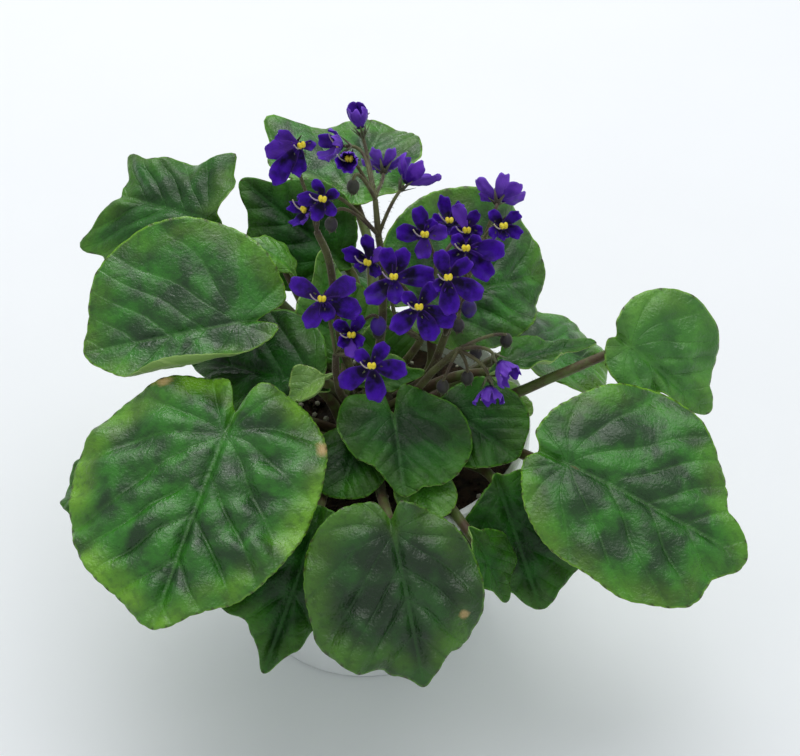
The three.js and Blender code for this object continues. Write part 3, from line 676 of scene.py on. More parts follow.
@dataclass(frozen=True)
class Leaf:
    """One leaf with its petiole.

    The leaf's own X runs along the midrib from the petiole to the tip, Y to its left, Z up from
    its face. The blade joins its petiole at `at`; its midrib points to `heading` at `pitch`. The
    outline is set out round the middle of the blade, `centre` along the midrib, by its reach to
    the tip, at 45, 90 and 135 degrees on the left and the right, and to the back of the lobes.
    """

    name: str
    at: Triple
    heading: float
    pitch: float
    centre: float
    tip: float
    left: Triple
    right: Triple
    back: float
    origin: tuple[float, float]  # bearing and height at which the petiole leaves the crown
    roll: float = 0
    droop: float = 14
    curl: tuple[float, float] = (-8, -8)  # degrees by which the left and right margins turn up
    curl_power: float = 1.3
    lobe_lift: float = 0
    tip_width: float = 13  # degrees
    closed: float = 6  # millimetres over which the lobes meet behind the petiole
    ripple: float = 1.2
    waves: int = 7
    points: tuple[Triple, ...] = ()  # extra points of the margin: degrees, millimetres, half width
    rise: float = 50
    approach: tuple[float, float] | None = None
    by: tuple[Triple, ...] = ()
    face: Finish = Finish.LEAF
    quilt: float = 1.0  # how strongly the blade is quilted
    folds: tuple[tuple[float, float, float, float], ...] = ()  # along, across, radius, lift
    scorch: tuple[Triple, ...] = ()  # along, across, radius of a dry spot

    BLADE = 0.9  # thickness
    PETIOLE = (2.4, 1.6)  # radii at the crown and at the blade
    OFF_CROWN = 0.6
    BELOW_BLADE = 1.2
    MIDRIB = ((0.45, 0, -2.7), (1, 0, -2.3), (1, 0.45, -1.9), (1, 0.8, -1.5))  # parts of centre and tip, lift
    MIDRIB_END = 0.35
    COLUMNS = 2.8  # of the blade's mesh, for each millimetre, like its rings
    RINGS = 0.72
    SINUS_WIDTH = 5.5  # degrees
    VEINS = 4.6  # side veins on each half, from the petiole to the tip
    VEIN_SLOPE = 0.95
    VEIN_BOW = 0.3
    VEIN_DRIFT = 1.3
    FAN_STEP = 33  # degrees between the veins behind the petiole
    QUILT_HEIGHT = 0.032  # for each millimetre of the blade's length
    LUMPS = ((7, 0.75), (17, 1.3))  # size and height
    FURROW = (0.8, 1.5)  # depth and half width along the midrib
    SLIT = (1.8, 1.1)  # the same where the lobes meet
    TOOTH_STEP = 4.8
    TOOTH_DEPTH = 0.4

    @property
    def node(self) -> str:
        """The CAD node that this leaf stands for."""
        return f"leaf_{self.name}"

    @property
    def seed(self) -> int:
        """A number of the leaf's own, from the letters of its name."""
        return sum(ord(letter) * (i + 1) for i, letter in enumerate(self.name))

    def axes(self) -> tuple[Vector, Vector, Vector]:
        """The leaf's ahead, left and up."""
        ahead = direction(self.heading, self.pitch + self.droop / 2)
        level = Vector((0, 0, 1)).cross(ahead).normalized()
        left = Matrix.Rotation(math.radians(self.roll), 3, ahead) @ level
        return ahead, left, ahead.cross(left)

    def reach(self, angle: np.ndarray) -> np.ndarray:
        """The outline's distance from the middle of the blade, at angles in degrees from the tip."""
        shoulder = (self.left[0] + self.right[0]) / 2
        reach = round_value([shoulder, *self.left, self.back, *reversed(self.right)], angle)
        reach += (self.tip - shoulder) * hump(angle, self.tip_width)
        reach -= (self.back - self.centre - self.closed) * hump(180 - np.abs(angle), self.SINUS_WIDTH)
        for where, height, width in self.points:
            reach += height * hump(angle - where, width)
        return reach

    def on_blade(self, along: np.ndarray, across: np.ndarray, lift: np.ndarray) -> np.ndarray:
        """Places of points given along and across the flattened leaf, and above its face."""
        left = across >= 0
        sides = [
            bend(np.abs(across), reach, turn, self.curl_power)
            for reach, turn in ((self.left[1], self.curl[0]), (self.right[1], self.curl[1]))
        ]
        out = np.where(left, sides[0][0], -sides[1][0])
        rise = np.where(left, sides[0][1], sides[1][1])
        front, behind = self.centre + self.tip, self.back
        blade = bend(np.abs(along), front, -self.droop, 1)
        lobes = bend(np.abs(along), behind, self.lobe_lift, 1)
        ahead, height = (np.where(along >= 0, *pair) for pair in zip(blade, lobes))
        slope = np.radians(np.where(along >= 0, -self.droop / front, self.lobe_lift / behind)) * along
        flat = np.stack(
            [
                np.sign(along) * ahead - np.sin(slope) * (rise + lift),
                out,
                height + np.cos(slope) * (rise + lift),
            ],
            axis=1,
        )
        return flat @ np.array(self.axes()) + np.array(self.at)

    def point(self, along: float, across: float, lift: float) -> Vector:
        """The place of one point of the blade."""
        return Vector(self.on_blade(*(np.array([value]) for value in (along, across, lift)))[0])

    def vein_phase(self, along: np.ndarray, across: np.ndarray) -> np.ndarray:
        """A number that is whole on each side vein: pinnate ahead of the petiole, fanned behind it."""
        width = (self.left[1] + self.right[1]) / 2
        side = np.abs(across)
        drift = self.VEIN_DRIFT * lumps(along, across, 15, self.seed + 1)
        forward = along - self.VEIN_BOW * across**2 / width + drift * np.clip(side / 9, 0, 1)
        ahead = (forward - self.VEIN_SLOPE * side) / ((self.centre + self.tip) / self.VEINS)
        first = math.degrees(math.atan2(1, self.VEIN_SLOPE))
        fan = (first - np.degrees(np.arctan2(side, forward))) / self.FAN_STEP
        return np.where(ahead >= 0, ahead, fan)

    def relief(self, along: np.ndarray, across: np.ndarray, share: np.ndarray) -> np.ndarray:
        """Height of the quilting between the veins, the midrib's furrow and the folds."""
        length = self.centre + self.tip
        pillow = np.abs(np.sin(math.pi * self.vein_phase(along, across))) ** 0.65
        join = np.clip(np.hypot(along, across) / 14, 0, 1)
        beside = 1 - hump(across, 2.4)
        lift = self.quilt * self.QUILT_HEIGHT * length * pillow * join * beside * (1 - 0.5 * share**6)
        grown = min(1.0, length / 50)
        for number, (size, height) in enumerate(self.LUMPS):
            uneven = height * lumps(along, across, size, self.seed + 2 + number)
            lift += self.quilt * grown * uneven * share**number * beside
        (furrow, wide), (slit, narrow) = self.FURROW, self.SLIT
        lift -= furrow * hump(across, wide) * np.clip(along / 6 + 1, 0, 1) * (1 - share**4)
        lift -= slit * hump(across, narrow) * np.clip(-along / 3, 0, 1)
        for where, aside, radius, height in self.folds:
            lift += height * np.exp(-((along - where) ** 2 + (across - aside) ** 2) / radius**2)
        return lift

    def dryness(self, along: np.ndarray, across: np.ndarray) -> np.ndarray:
        """How dry the blade is, from 0 to 1 in the middle of a scorched spot."""
        dry = np.zeros(len(along))
        uneven = 0.5 * lumps(along, across, 2.5, 5)
        for where, aside, radius in self.scorch:
            spot = np.hypot(along - where, across - aside) / radius + uneven
            dry = np.maximum(dry, np.clip(1.6 - spot, 0, 1))
        return dry

    def build(self) -> None:
        """Builds the blade and the petiole."""
        self.build_blade()
        self.build_petiole()

    def build_blade(self) -> None:
        """A round sheet pulled to the outline, scalloped, quilted, bent and thickened."""
        mean = (self.tip + sum(self.left) + sum(self.right) + self.back) / 8
        bm = round_sheet(round(mean * self.RINGS) + 6, 2 * round(mean * self.COLUMNS) + 24)
        disc = coordinates(bm)
        share = np.hypot(disc[:, 0], disc[:, 1]) ** 0.86
        turn = np.arctan2(disc[:, 1], disc[:, 0])
        turn = turn - 0.2 * np.sin(2 * turn)
        angle = np.degrees(turn)
        margin = self.reach(angle)
        teeth = round(FULL_TURN * mean / self.TOOTH_STEP)
        scallop = np.abs(np.cos(teeth * turn / 2 + 0.6 * np.sin(3 * turn))) ** 0.7
        depth = min(self.TOOTH_DEPTH, 0.013 * mean)
        reach = (margin + depth * (scallop - 0.6) * share**12) * share
        along = self.centre + reach * np.cos(turn)
        across = reach * np.sin(turn)
        across[np.abs(across) < 1e-6] = 0.0
        ripple = self.ripple * min(1.0, mean / 25)
        lift = ripple * share**2 * np.sin(self.waves * turn) + self.relief(along, across, share)
        put(bm, self.on_blade(along, across, lift))
        finishes = [self.face, Finish.REVERSE, Finish.RIM]
        piece = new_piece(f"blade_{self.name}", bm, finishes, "leaf_green", self.node)
        store(piece, "leaf_map", np.stack([along, across, margin * (1 - share)], axis=1))
        store(piece, "vein_phase", self.vein_phase(along, across))
        store(piece, "scorch", self.dryness(along, across))
        store(piece, "tooth", np.where((share > 0.985) & (scallop > 0.97), 1.0, 0.0))
        thicken(piece, share, self.BLADE, under=1, rim=2)

    def build_petiole(self) -> None:
        """The petiole arches from the crown to the blade and runs on beneath it as the midrib."""
        ahead, _, up = self.axes()
        at_crown, at_blade = self.PETIOLE
        bearing, height = self.origin
        outward = direction(bearing, 0)
        start = Vector((CROWN_X, 0, height)) + outward * (CROWN_RADIUS + self.OFF_CROWN + at_crown * 0.75)
        join = Vector(self.at) - up * (at_blade + self.BELOW_BLADE)
        span = (join - start).length
        leaving = start + direction(bearing, self.rise) * span * 0.35
        arrival = (ahead * 0.22 + up * 0.2) * span
        if self.approach:
            arrival = direction(*self.approach) * span * 0.3
        if self.by:
            way = [start, start.lerp(leaving, 0.4), *(Vector(p) for p in self.by), join]
        else:
            way = cubic(start, leaving, join - arrival, join, 4)
        under = [self.point(self.centre * near + self.tip * far, 0, lift) for near, far, lift in self.MIDRIB]
        root = start - outward * 3
        steps = 6
        path = smooth_path([root, *way, *under], steps)
        stem = len(way) * steps
        radii = [at_crown + (at_blade - at_crown) * i / stem for i in range(stem)]
        rest = len(path) - stem
        radii += [at_blade + (self.MIDRIB_END - at_blade) * (i / (rest - 1)) ** 0.6 for i in range(rest)]
        bm = bmesh.new()
        add_tubes(bm, [Tube(path, radii)], 3)
        hairy = Tube(path[: stem + 2], radii[: stem + 2])
        add_down(bm, [hairy], spacing=0.55, length=0.9, seed=self.seed)
        new_piece(f"petiole_{self.name}", bm, [Finish.PETIOLE], "stalk_brown", self.node)


LEAVES = [
    Leaf(
        "front_left", (-44, -32, 113), -110, -27, 21, 48, (39, 37, 43), (45, 45, 43), 41, (-148, 84),
        roll=-2, curl=(-10, -14), lobe_lift=-10, ripple=1.5, rise=35, closed=9, face=Finish.LEAF_SUNNY,
        scorch=((-4, 33, 2.2), (-12, -27, 2.5)),
    ),
    Leaf(
        "right", (67, -44, 111), -21, -22, 20, 46, (36, 40, 36), (39, 31, 33), 34, (-10, 84),
        roll=20, droop=12, curl=(-12, -8), lobe_lift=-8, approach=(-60, 45), rise=30, closed=10,
        points=((-33, 3.5, 12), (19, -2, 7), (-8, 1, 6)), quilt=0.65, ripple=0.8,
    ),
    Leaf(
        "front", (11, -65, 101), -74, -49, 15, 36, (29, 25, 23), (34, 32, 31), 25, (-88, 84),
        roll=4, droop=16, curl=(-14, -14), lobe_lift=-10, ripple=2.0, rise=20, closed=4, tip_width=6.5,
        points=((-26, -3, 7), (20, -2, 7), (-62, 1.5, 8)), scorch=((31, 17, 1.0),),
        face=Finish.LEAF_PAINTED_SHADE_SUNNY,
    ),
    Leaf(
        "front_right", (46, -43, 97), -60, -57, 13, 30, (27, 26, 22), (20, 19, 15), 17, (-36, 84),
        roll=22, curl=(-10, -10), rise=0, face=Finish.LEAF_PAINTED_SHADE,
    ),
    Leaf(
        "heart", (11, -21, 111), -83, -14, 10, 22, (23, 25, 23), (14, 18, 23), 21, (-58, 96),
        roll=-3, droop=18, curl=(-8, -12), rise=70, face=Finish.LEAF_PAINTED_SHADE, closed=0.5, lobe_lift=8,
    ),
    Leaf(
        "front_low_left", (-14, -58, 97), -115, -53, 16, 37, (26, 24, 22), (30, 27, 22), 22, (-126, 84),
        roll=-23, droop=24, curl=(-10, -10), rise=20, tip_width=6, face=Finish.LEAF_PAINTED_SHADE,
        points=((-30, -6, 14), (32, -6, 12), (-75, 4, 10)),
    ),
    Leaf(
        "right_inner", (30, -16, 108), -39, -14, 9, 19, (19, 17, 17), (16, 15, 14), 14, (-40, 91),
        roll=21, curl=(8, 8), rise=60, face=Finish.LEAF_PAINTED_SHADE,
    ),
    Leaf(
        "mid_left", (-16, -10, 114), 154, -14, 15, 36, (21, 17, 15), (26, 23, 20), 17, (-150, 91),
        roll=-31, droop=20, curl=(10, -12), rise=70, face=Finish.LEAF_PAINTED_SHADE,
    ),
    Leaf(
        "left", (-41, 8, 126), -174, -13, 16, 38, (26, 22, 21), (40, 40, 37), 32, (156, 86),
        roll=-31, droop=10, curl=(125, 8), curl_power=1.6, by=((-22, 24, 108), (-36, 23, 121)), quilt=0.4,
    ),
    Leaf(
        "back_left", (-55, 57, 132), 150, -10, 14, 26, (30, 30, 24), (24, 20, 24), 18, (116, 84),
        roll=-30, droop=10, curl=(6, -16), ripple=2.2, waves=6, approach=(140, 60),
        points=((-28, 12, 7), (35, 9, 9), (-112, 8, 10), (5, -3, 8)), tip_width=7, face=Finish.LEAF_SHADED,
    ),
    Leaf(
        "back_left_inner", (-9, 47, 122), 152, 22, 13, 31, (22, 22, 18), (20, 20, 18), 17, (106, 90),
        roll=-54, droop=10, curl=(14, 14), face=Finish.LEAF_PAINTED_SHADE,
    ),
    Leaf(
        "arched", (-24, 38, 124), 149, 13, 8, 17, (8, 8, 7), (10, 10, 9), 9, (136, 91),
        roll=10, droop=70, curl=(-30, -40), approach=(150, 60), face=Finish.LEAF_BRIGHT,
    ),
    Leaf(
        "back", (-4, 73, 132), 74, 3, 12, 27, (30, 36, 18), (24, 20, 18), 18, (92, 85),
        roll=-7, droop=10, curl=(6, 6), points=((66, 12, 10),), approach=(120, 30),
    ),
    Leaf(
        "back_right", (23, 22, 124), 25, -10, 14, 33, (36, 36, 34), (25, 21, 22), 28, (32, 89),
        roll=44, droop=10, curl=(10, 6), by=((24, 13, 104),),
    ),
    Leaf(
        "edge_on", (47, -4, 118), 21, 0, 10, 24, (12, 13, 11), (11, 12, 11), 11, (12, 94),
        roll=-20, droop=16, curl=(14, 14), by=((32, 3, 106),), face=Finish.LEAF_PAINTED_SHADE,
    ),
    Leaf(
        "far_right", (90, -2, 124), -16, -44, 11, 27, (25, 28, 25), (9, 12, 17), 20, (-15, 91),
        roll=34, curl=(-8, 20), by=((46, -7, 105), (66, -4, 113)), folds=((-4, -12, 6, -4),), tip_width=14,
        face=Finish.LEAF_BRIGHT,
    ),
    Leaf(
        "low_back_right", (57, 26, 102), 8, -28, 11, 23, (22, 21, 19), (22, 20, 18), 18, (18, 84),
        droop=16,
    ),
    Leaf(
        "pale", (41, 2, 101), -6, -28, 7, 13, (12, 11, 9), (11, 10, 9), 9, (4, 87),
        approach=(0, 10), face=Finish.LEAF_PALE,
    ),
    Leaf(
        "middle_back_left", (-7, 14, 105), 110, 60, 12, 26, (16, 15, 14), (16, 16, 15), 14, (150, 97),
        droop=-20, curl=(14, 14), rise=70, face=Finish.LEAF_BRIGHT,
    ),
    Leaf(
        "middle_back_right", (9, 13, 101), 95, 70, 9, 13, (9, 10, 9), (10, 10, 9), 9, (72, 97),
        droop=-16, curl=(12, 12), rise=60, face=Finish.LEAF_BRIGHT,
    ),
    Leaf(
        "middle_front", (3, -3, 108), 3, 5, 6, 13, (9, 9, 8), (5, 4, 4), 7, (-92, 97),
        roll=58, curl=(10, 10), rise=80, face=Finish.LEAF_BRIGHT,
    ),
    Leaf(
        "young_curled", (-14, -12, 119), -155, -33, 4, 11, (7, 8, 6), (7, 8, 6), 6, (-172, 97),
        droop=30, curl=(50, 50), rise=70, face=Finish.LEAF_PALE,
    ),
    Leaf(
        "under_heart", (-1, -27, 105), -106, -20, 8, 14, (14, 13, 11), (15, 16, 14), 12, (-110, 91),
        droop=10, curl=(-10, -10), face=Finish.LEAF_PAINTED_SHADE,
    ),
    Leaf(
        "front_inner", (18, -39, 101), -75, -18, 7, 12, (12, 12, 11), (9, 9, 9), 10, (-76, 90),
        face=Finish.LEAF_BRIGHT,
    ),
    Leaf(
        "front_low_right", (39, -60, 91), -40, -61, 8, 16, (12, 12, 11), (9, 9, 9), 11, (-62, 84),
        approach=(-62, -5), rise=48, face=Finish.LEAF_PAINTED_SHADE,
    ),
    Leaf(
        "low_left", (-68, -26, 93), -171, -21, 12, 24, (22, 21, 19), (22, 21, 19), 17, (-172, 84),
        approach=(-165, -10), face=Finish.LEAF_PAINTED_SHADE,
    ),
    Leaf("low_back", (8, 54, 99), 84, -18, 14, 31, (28, 27, 24), (28, 27, 24), 20, (66, 84), droop=16),
    Leaf(
        "low_back_left", (-44, 36, 99), 146, -18, 14, 31, (28, 27, 24), (28, 27, 24), 20, (140, 83),
        droop=16,
    ),
]


# ---- flowers


@dataclass(frozen=True)
class Bloom:
    """One flower: five petals, two joined anthers and a curved style."""

    name: str
    at: Triple
    face: tuple[float, float]  # the bearing and height that it looks to
    open: float = 20
    size: float = 12
    spread: tuple[float, ...] = (34, 106, 180, 254, 326)  # the petals' angles from the top
    reaches: tuple[float, ...] = (0.8, 0.98, 1.0, 0.98, 0.8)  # their lengths, as parts of the size
    pale: tuple[float, ...] = (0, 0, 0, 0, 0)  # how pale each petal is, 0 to 1: partly the petal's paler colour, partly painted sheen
    lean: float = 0  # degrees by which the petals stand off the flower's plane at the root
    folds: tuple[float, ...] = (0, 0, 0, 0, 0)  # degrees by which each petal folds forward as well

    THICK = 0.4
    LIFTS = (-0.25, 0.0, 0.25, 0.1, -0.12)  # so that one petal overlaps the next
    WIDTHS = (0.3, 0.4, 0.4, 0.4, 0.3)  # as parts of the size
    WAVE = 0.03  # of the outline, as a part of the size
    RUFFLE = 0.8
    CRUMPLE = 0.3
    GROOVE = 0.4
    CUPS = (-0.05, 0.06)
    OPENINGS = (-14, 14)  # degrees by which one petal opens more or less than another
    THROAT = (1.5, 1.5, 0.5)  # half sizes, like the next
    SAC = (1.15, 0.8, 0.75)
    SACS_APART = 0.62
    STYLE = ((-0.4, 0.6, 0.5), (-0.2, 1.7, 2.2), (0.8, 2.9, 3.4), (1.9, 3.6, 4.0))

    def axes(self) -> tuple[Vector, Vector, Vector]:
        """The flower's top, side and front."""
        out = direction(*self.face)
        top = Vector((0, 0, 1))
        top = (top - out * out.z).normalized()
        return top, out.cross(top), out

    def place(self, x: float, y: float, z: float) -> Vector:
        """A point given toward the top, the side and the front."""
        top, side, out = self.axes()
        return Vector(self.at) + top * x + side * y + out * z

    @property
    def seed(self) -> int:
        """A number of the flower's own."""
        return sum(ord(letter) * 7 ** (i + 1) for i, letter in enumerate(self.name))

    def petal(self, number: int) -> tuple[bmesh.types.BMesh, np.ndarray, np.ndarray]:
        """One petal: a round sheet drawn out, cupped and ruffled.

        Args:
            number: which of the five it is, from the top round.

        Returns:
            The sheet, the map for its finish, and how far out each vertex lies.
        """
        draw = np.random.default_rng(self.seed + number)
        length = self.size * self.reaches[number]
        bm = round_sheet(rings=9, around=30)
        disc = coordinates(bm)
        share = np.hypot(disc[:, 0], disc[:, 1])
        turn = np.arctan2(disc[:, 1], disc[:, 0])
        out = (disc[:, 0] + 1) / 2
        half = 0.2 * length + 0.42 * self.WIDTHS[number] * self.size
        half = half * (0.3 + 0.7 * np.clip(out, 0, 1) ** 0.75)
        wave = 1 + self.WAVE * np.sin(7 * turn + draw.uniform(*ANY_PHASE)) * share**4
        along = length * out * wave
        across = disc[:, 1] * half * wave
        flat, height = bend(along, self.size, self.open + draw.uniform(*self.OPENINGS), 1)
        cup = draw.uniform(*self.CUPS) * across**2
        ruffle = self.RUFFLE * share**4 * np.sin(5 * turn + draw.uniform(*ANY_PHASE)) * (along / length)
        uneven = lumps(along, across, 3.5, self.seed % 1000 + number)
        groove = self.GROOVE * hump(across, 0.9) * np.clip(4 * out * (1 - out), 0, 1)
        height = height + cup + ruffle + self.CRUMPLE * uneven * out - groove
        height += self.LIFTS[number] * np.clip(along / 4, 0, 1)
        tilt = math.radians(self.lean + self.folds[number])
        outward = flat * math.cos(tilt) - height * math.sin(tilt)
        forward = flat * math.sin(tilt) + height * math.cos(tilt)
        angle = math.radians(self.spread[number])
        top, side, front = (np.array(axis) for axis in self.axes())
        ray = math.cos(angle) * top + math.sin(angle) * side
        beside = math.cos(angle) * side - math.sin(angle) * top
        flat = np.stack([outward, across, forward], axis=1)
        put(bm, np.array(self.at) + flat @ np.array([ray, beside, front]))
        # How pale the petal is, partly painted sheen.
        pale = np.full(len(share), self.pale[number])
        return bm, np.stack([along / length, across, pale], axis=1), share

    def build(self) -> None:
        """Builds the petals as one piece and the parts in the middle as another."""
        whole = bmesh.new()
        maps, shares = [], []
        for number in range(len(self.spread)):
            bm, flat, share = self.petal(number)
            mesh = as_mesh("petal", bm)
            whole.from_mesh(mesh)
            bpy.data.meshes.remove(mesh)
            maps.append(flat)
            shares.append(share)
        node = f"bloom_{self.name}"
        finishes = [Finish.PETAL, Finish.PETAL_BACK]
        piece = new_piece(f"petals_{self.name}", whole, finishes, "petal_violet", node)
        store(piece, "petal_map", np.concatenate(maps))
        # How near each vertex is to the rim, for the petal's painted highlight.
        store(piece, "petal_rim_highlight", np.concatenate(shares) ** 8)
        thicken(piece, np.concatenate(shares), self.THICK, under=1, rim=0)
        self.build_middle(node)

    def build_middle(self, node: str) -> None:
        """The throat, the two anthers side by side and the style that leans out past them."""
        top, side, out = self.axes()
        basis = Matrix((top, side, out)).transposed().to_4x4()
        throat = bmesh.new()
        bmesh.ops.create_uvsphere(throat, u_segments=16, v_segments=8, radius=1)
        bmesh.ops.scale(throat, vec=self.THROAT, verts=throat.verts)
        seat = Matrix.Translation(self.place(0, 0, 0.1)) @ basis
        bmesh.ops.transform(throat, matrix=seat, verts=throat.verts)
        new_piece(f"throat_{self.name}", throat, [Finish.THROAT], "petal_violet", node)
        pollen = bmesh.new()
        for aside in (-self.SACS_APART, self.SACS_APART):
            sac = bmesh.ops.create_uvsphere(pollen, u_segments=12, v_segments=8, radius=1)["verts"]
            bmesh.ops.scale(pollen, vec=self.SAC, verts=sac)
            lean = Matrix.Rotation(math.radians(14 * aside), 4, "Z")
            seat = Matrix.Translation(self.place(0.35, aside, 1.35)) @ basis @ lean
            bmesh.ops.transform(pollen, matrix=seat, verts=sac)
        new_piece(f"anthers_{self.name}", pollen, [Finish.ANTHER], "petal_violet", node)
        style = bmesh.new()
        path = smooth_path([self.place(*point) for point in self.STYLE], 4)
        add_tubes(style, [Tube.tapered(path, 0.28, 0.2)], 1)
        new_piece(f"style_{self.name}", style, [Finish.STYLE], "petal_violet", node)


BLOOMS = [
    Bloom(
        "a1", (-19, 20, 190), (-60, 25), 18, 9, (48, 80, 121, 160, 255), (1.1, 1.5, 1.75, 1.1, 0.6),
        (0.35, 0.4, 0, 0, 0.2),
    ),
    Bloom("a2", (-6, 31, 182), (195, 15), 40, 9, pale=(0.4, 0.2, 0.4, 0.3, 0.3), lean=30),
    Bloom("a3", (0, 41, 182), (115, 55), 50, 9, pale=(0.2, 0.4, 0.3, 0.3, 0.2), lean=48),
    Bloom("a4", (-3, 10, 192), (-95, 30), 45, 7, lean=40),
    Bloom("a5", (7.5, 34.5, 171), (90, 8), 20, 9, pale=(0.2, 0.1, 0.1, 0.3, 0.3), lean=20),
    Bloom("a6", (15, 19, 176), (50, 25), 40, 12, pale=(0, 0.4, 0.6, 0.3, 0), lean=28),
    Bloom("a7", (-11, 0, 184), (-110, 20), 30, 9, (31, 102, 163, 225, 308), (0.8, 0.95, 0.85, 0.7, 0.65)),
    Bloom("a8", (-17, 9, 172.5), (-150, 20), 40, 7, lean=15),
    Bloom(
        "b1", (45, 24, 166), (85, 0), 20, 9.5, (15, 60, 106, 264, 307), (0.95, 0.95, 1.1, 0.7, 1.0),
        (0.3, 0.1, 0.2, 0.2, 0.3), 8,
    ),
    Bloom("b2", (46, 4, 170), (-80, 25), 25, 9, (35, 120, 180, 239, 307), (0.78, 0.6, 0.5, 0.75, 0.8)),
    Bloom(
        "b3", (21, 3, 167), (-95, 35), 15, 12, (17, 86, 177, 285, 330), (0.8, 0.78, 0.64, 0.62, 0.5),
        (0, 0, 0.3, 0.35, 0),
    ),
    Bloom(
        "b4", (35, 20, 155.5), (-90, 30), 20, 9, (22, 98, 180, 270, 333), (1.1, 0.6, 0.5, 0.6, 0.85),
        (0.9, 0, 0, 0, 0.1),
    ),
    Bloom("b5", (29.5, 30, 151), (-90, 60), 25, 8, (15, 80, 170, 250, 325), (1.2, 0.8, 0.6, 0.7, 1)),
    Bloom("b6", (34, -4, 167), (-90, 35), 15, 12, (44, 126, 220, 268, 312), (0.5, 0.7, 1.03, 1.05, 0.5)),
    Bloom(
        "b7", (28, -18, 166.5), (-80, 35), 15, 12, (13, 126, 177, 236, 302),
        (0.78, 0.45, 0.97, 1.04, 0.78),
    ),
    Bloom(
        "c1", (3, 0, 158), (-120, 25), 25, 10, (14, 80, 125, 240, 325), (1, 0.95, 0.5, 0.55, 0.75),
        (0, 0, 0, 0, 0.8),
    ),
    Bloom("c2", (11, -10, 160), (-90, 40), 20, 12, (17, 132, 187, 274, 338), (0.85, 1.0, 0.7, 1.1, 0.85)),
    Bloom("c4", (19, -20, 156), (-90, 35), 14, 12, (47, 131, 205, 249, 326), (0.58, 0.95, 0.95, 1.05, 0.8)),
    Bloom(
        "c5", (-12, -10, 151), (-95, 35), 14, 12, (62, 154, 205, 256, 304), (1.0, 0.86, 0.6, 1.15, 1.12),
        (0.1, 0.1, 0, 0, 0.1),
    ),
    Bloom(
        "c6", (-2.6, -16.6, 141.8), (-90, 20), 20, 9, (45, 118, 180, 242, 335), (0.9, 0.7, 0.85, 0.65, 0.95),
        (0, 0, 0.8, 0, 0), folds=(10, 40, 25, 40, 10),
    ),
    Bloom("c8", (4, -30, 140), (-90, 35), 10, 12, (45, 121, 189, 263, 329), (0.6, 1.0, 0.97, 0.95, 0.75)),
    Bloom("d1", (45, -20, 133), (-45, -35), 40, 9, pale=(0.2, 0.5, 0.6, 0.4, 0.2), lean=40),
    Bloom("d2", (42, -24, 126), (-80, -50), 30, 8, pale=(0.2, 0.3, 0.4, 0.3, 0.2), lean=35),
]


# ---- stalks


@dataclass(frozen=True)
class Bud:
    """A closed bud that hangs from an arched pedicel."""

    root: Triple
    over: Triple
    at: Triple
    size: float = 3.0
    showing: bool = False  # whether its petals show


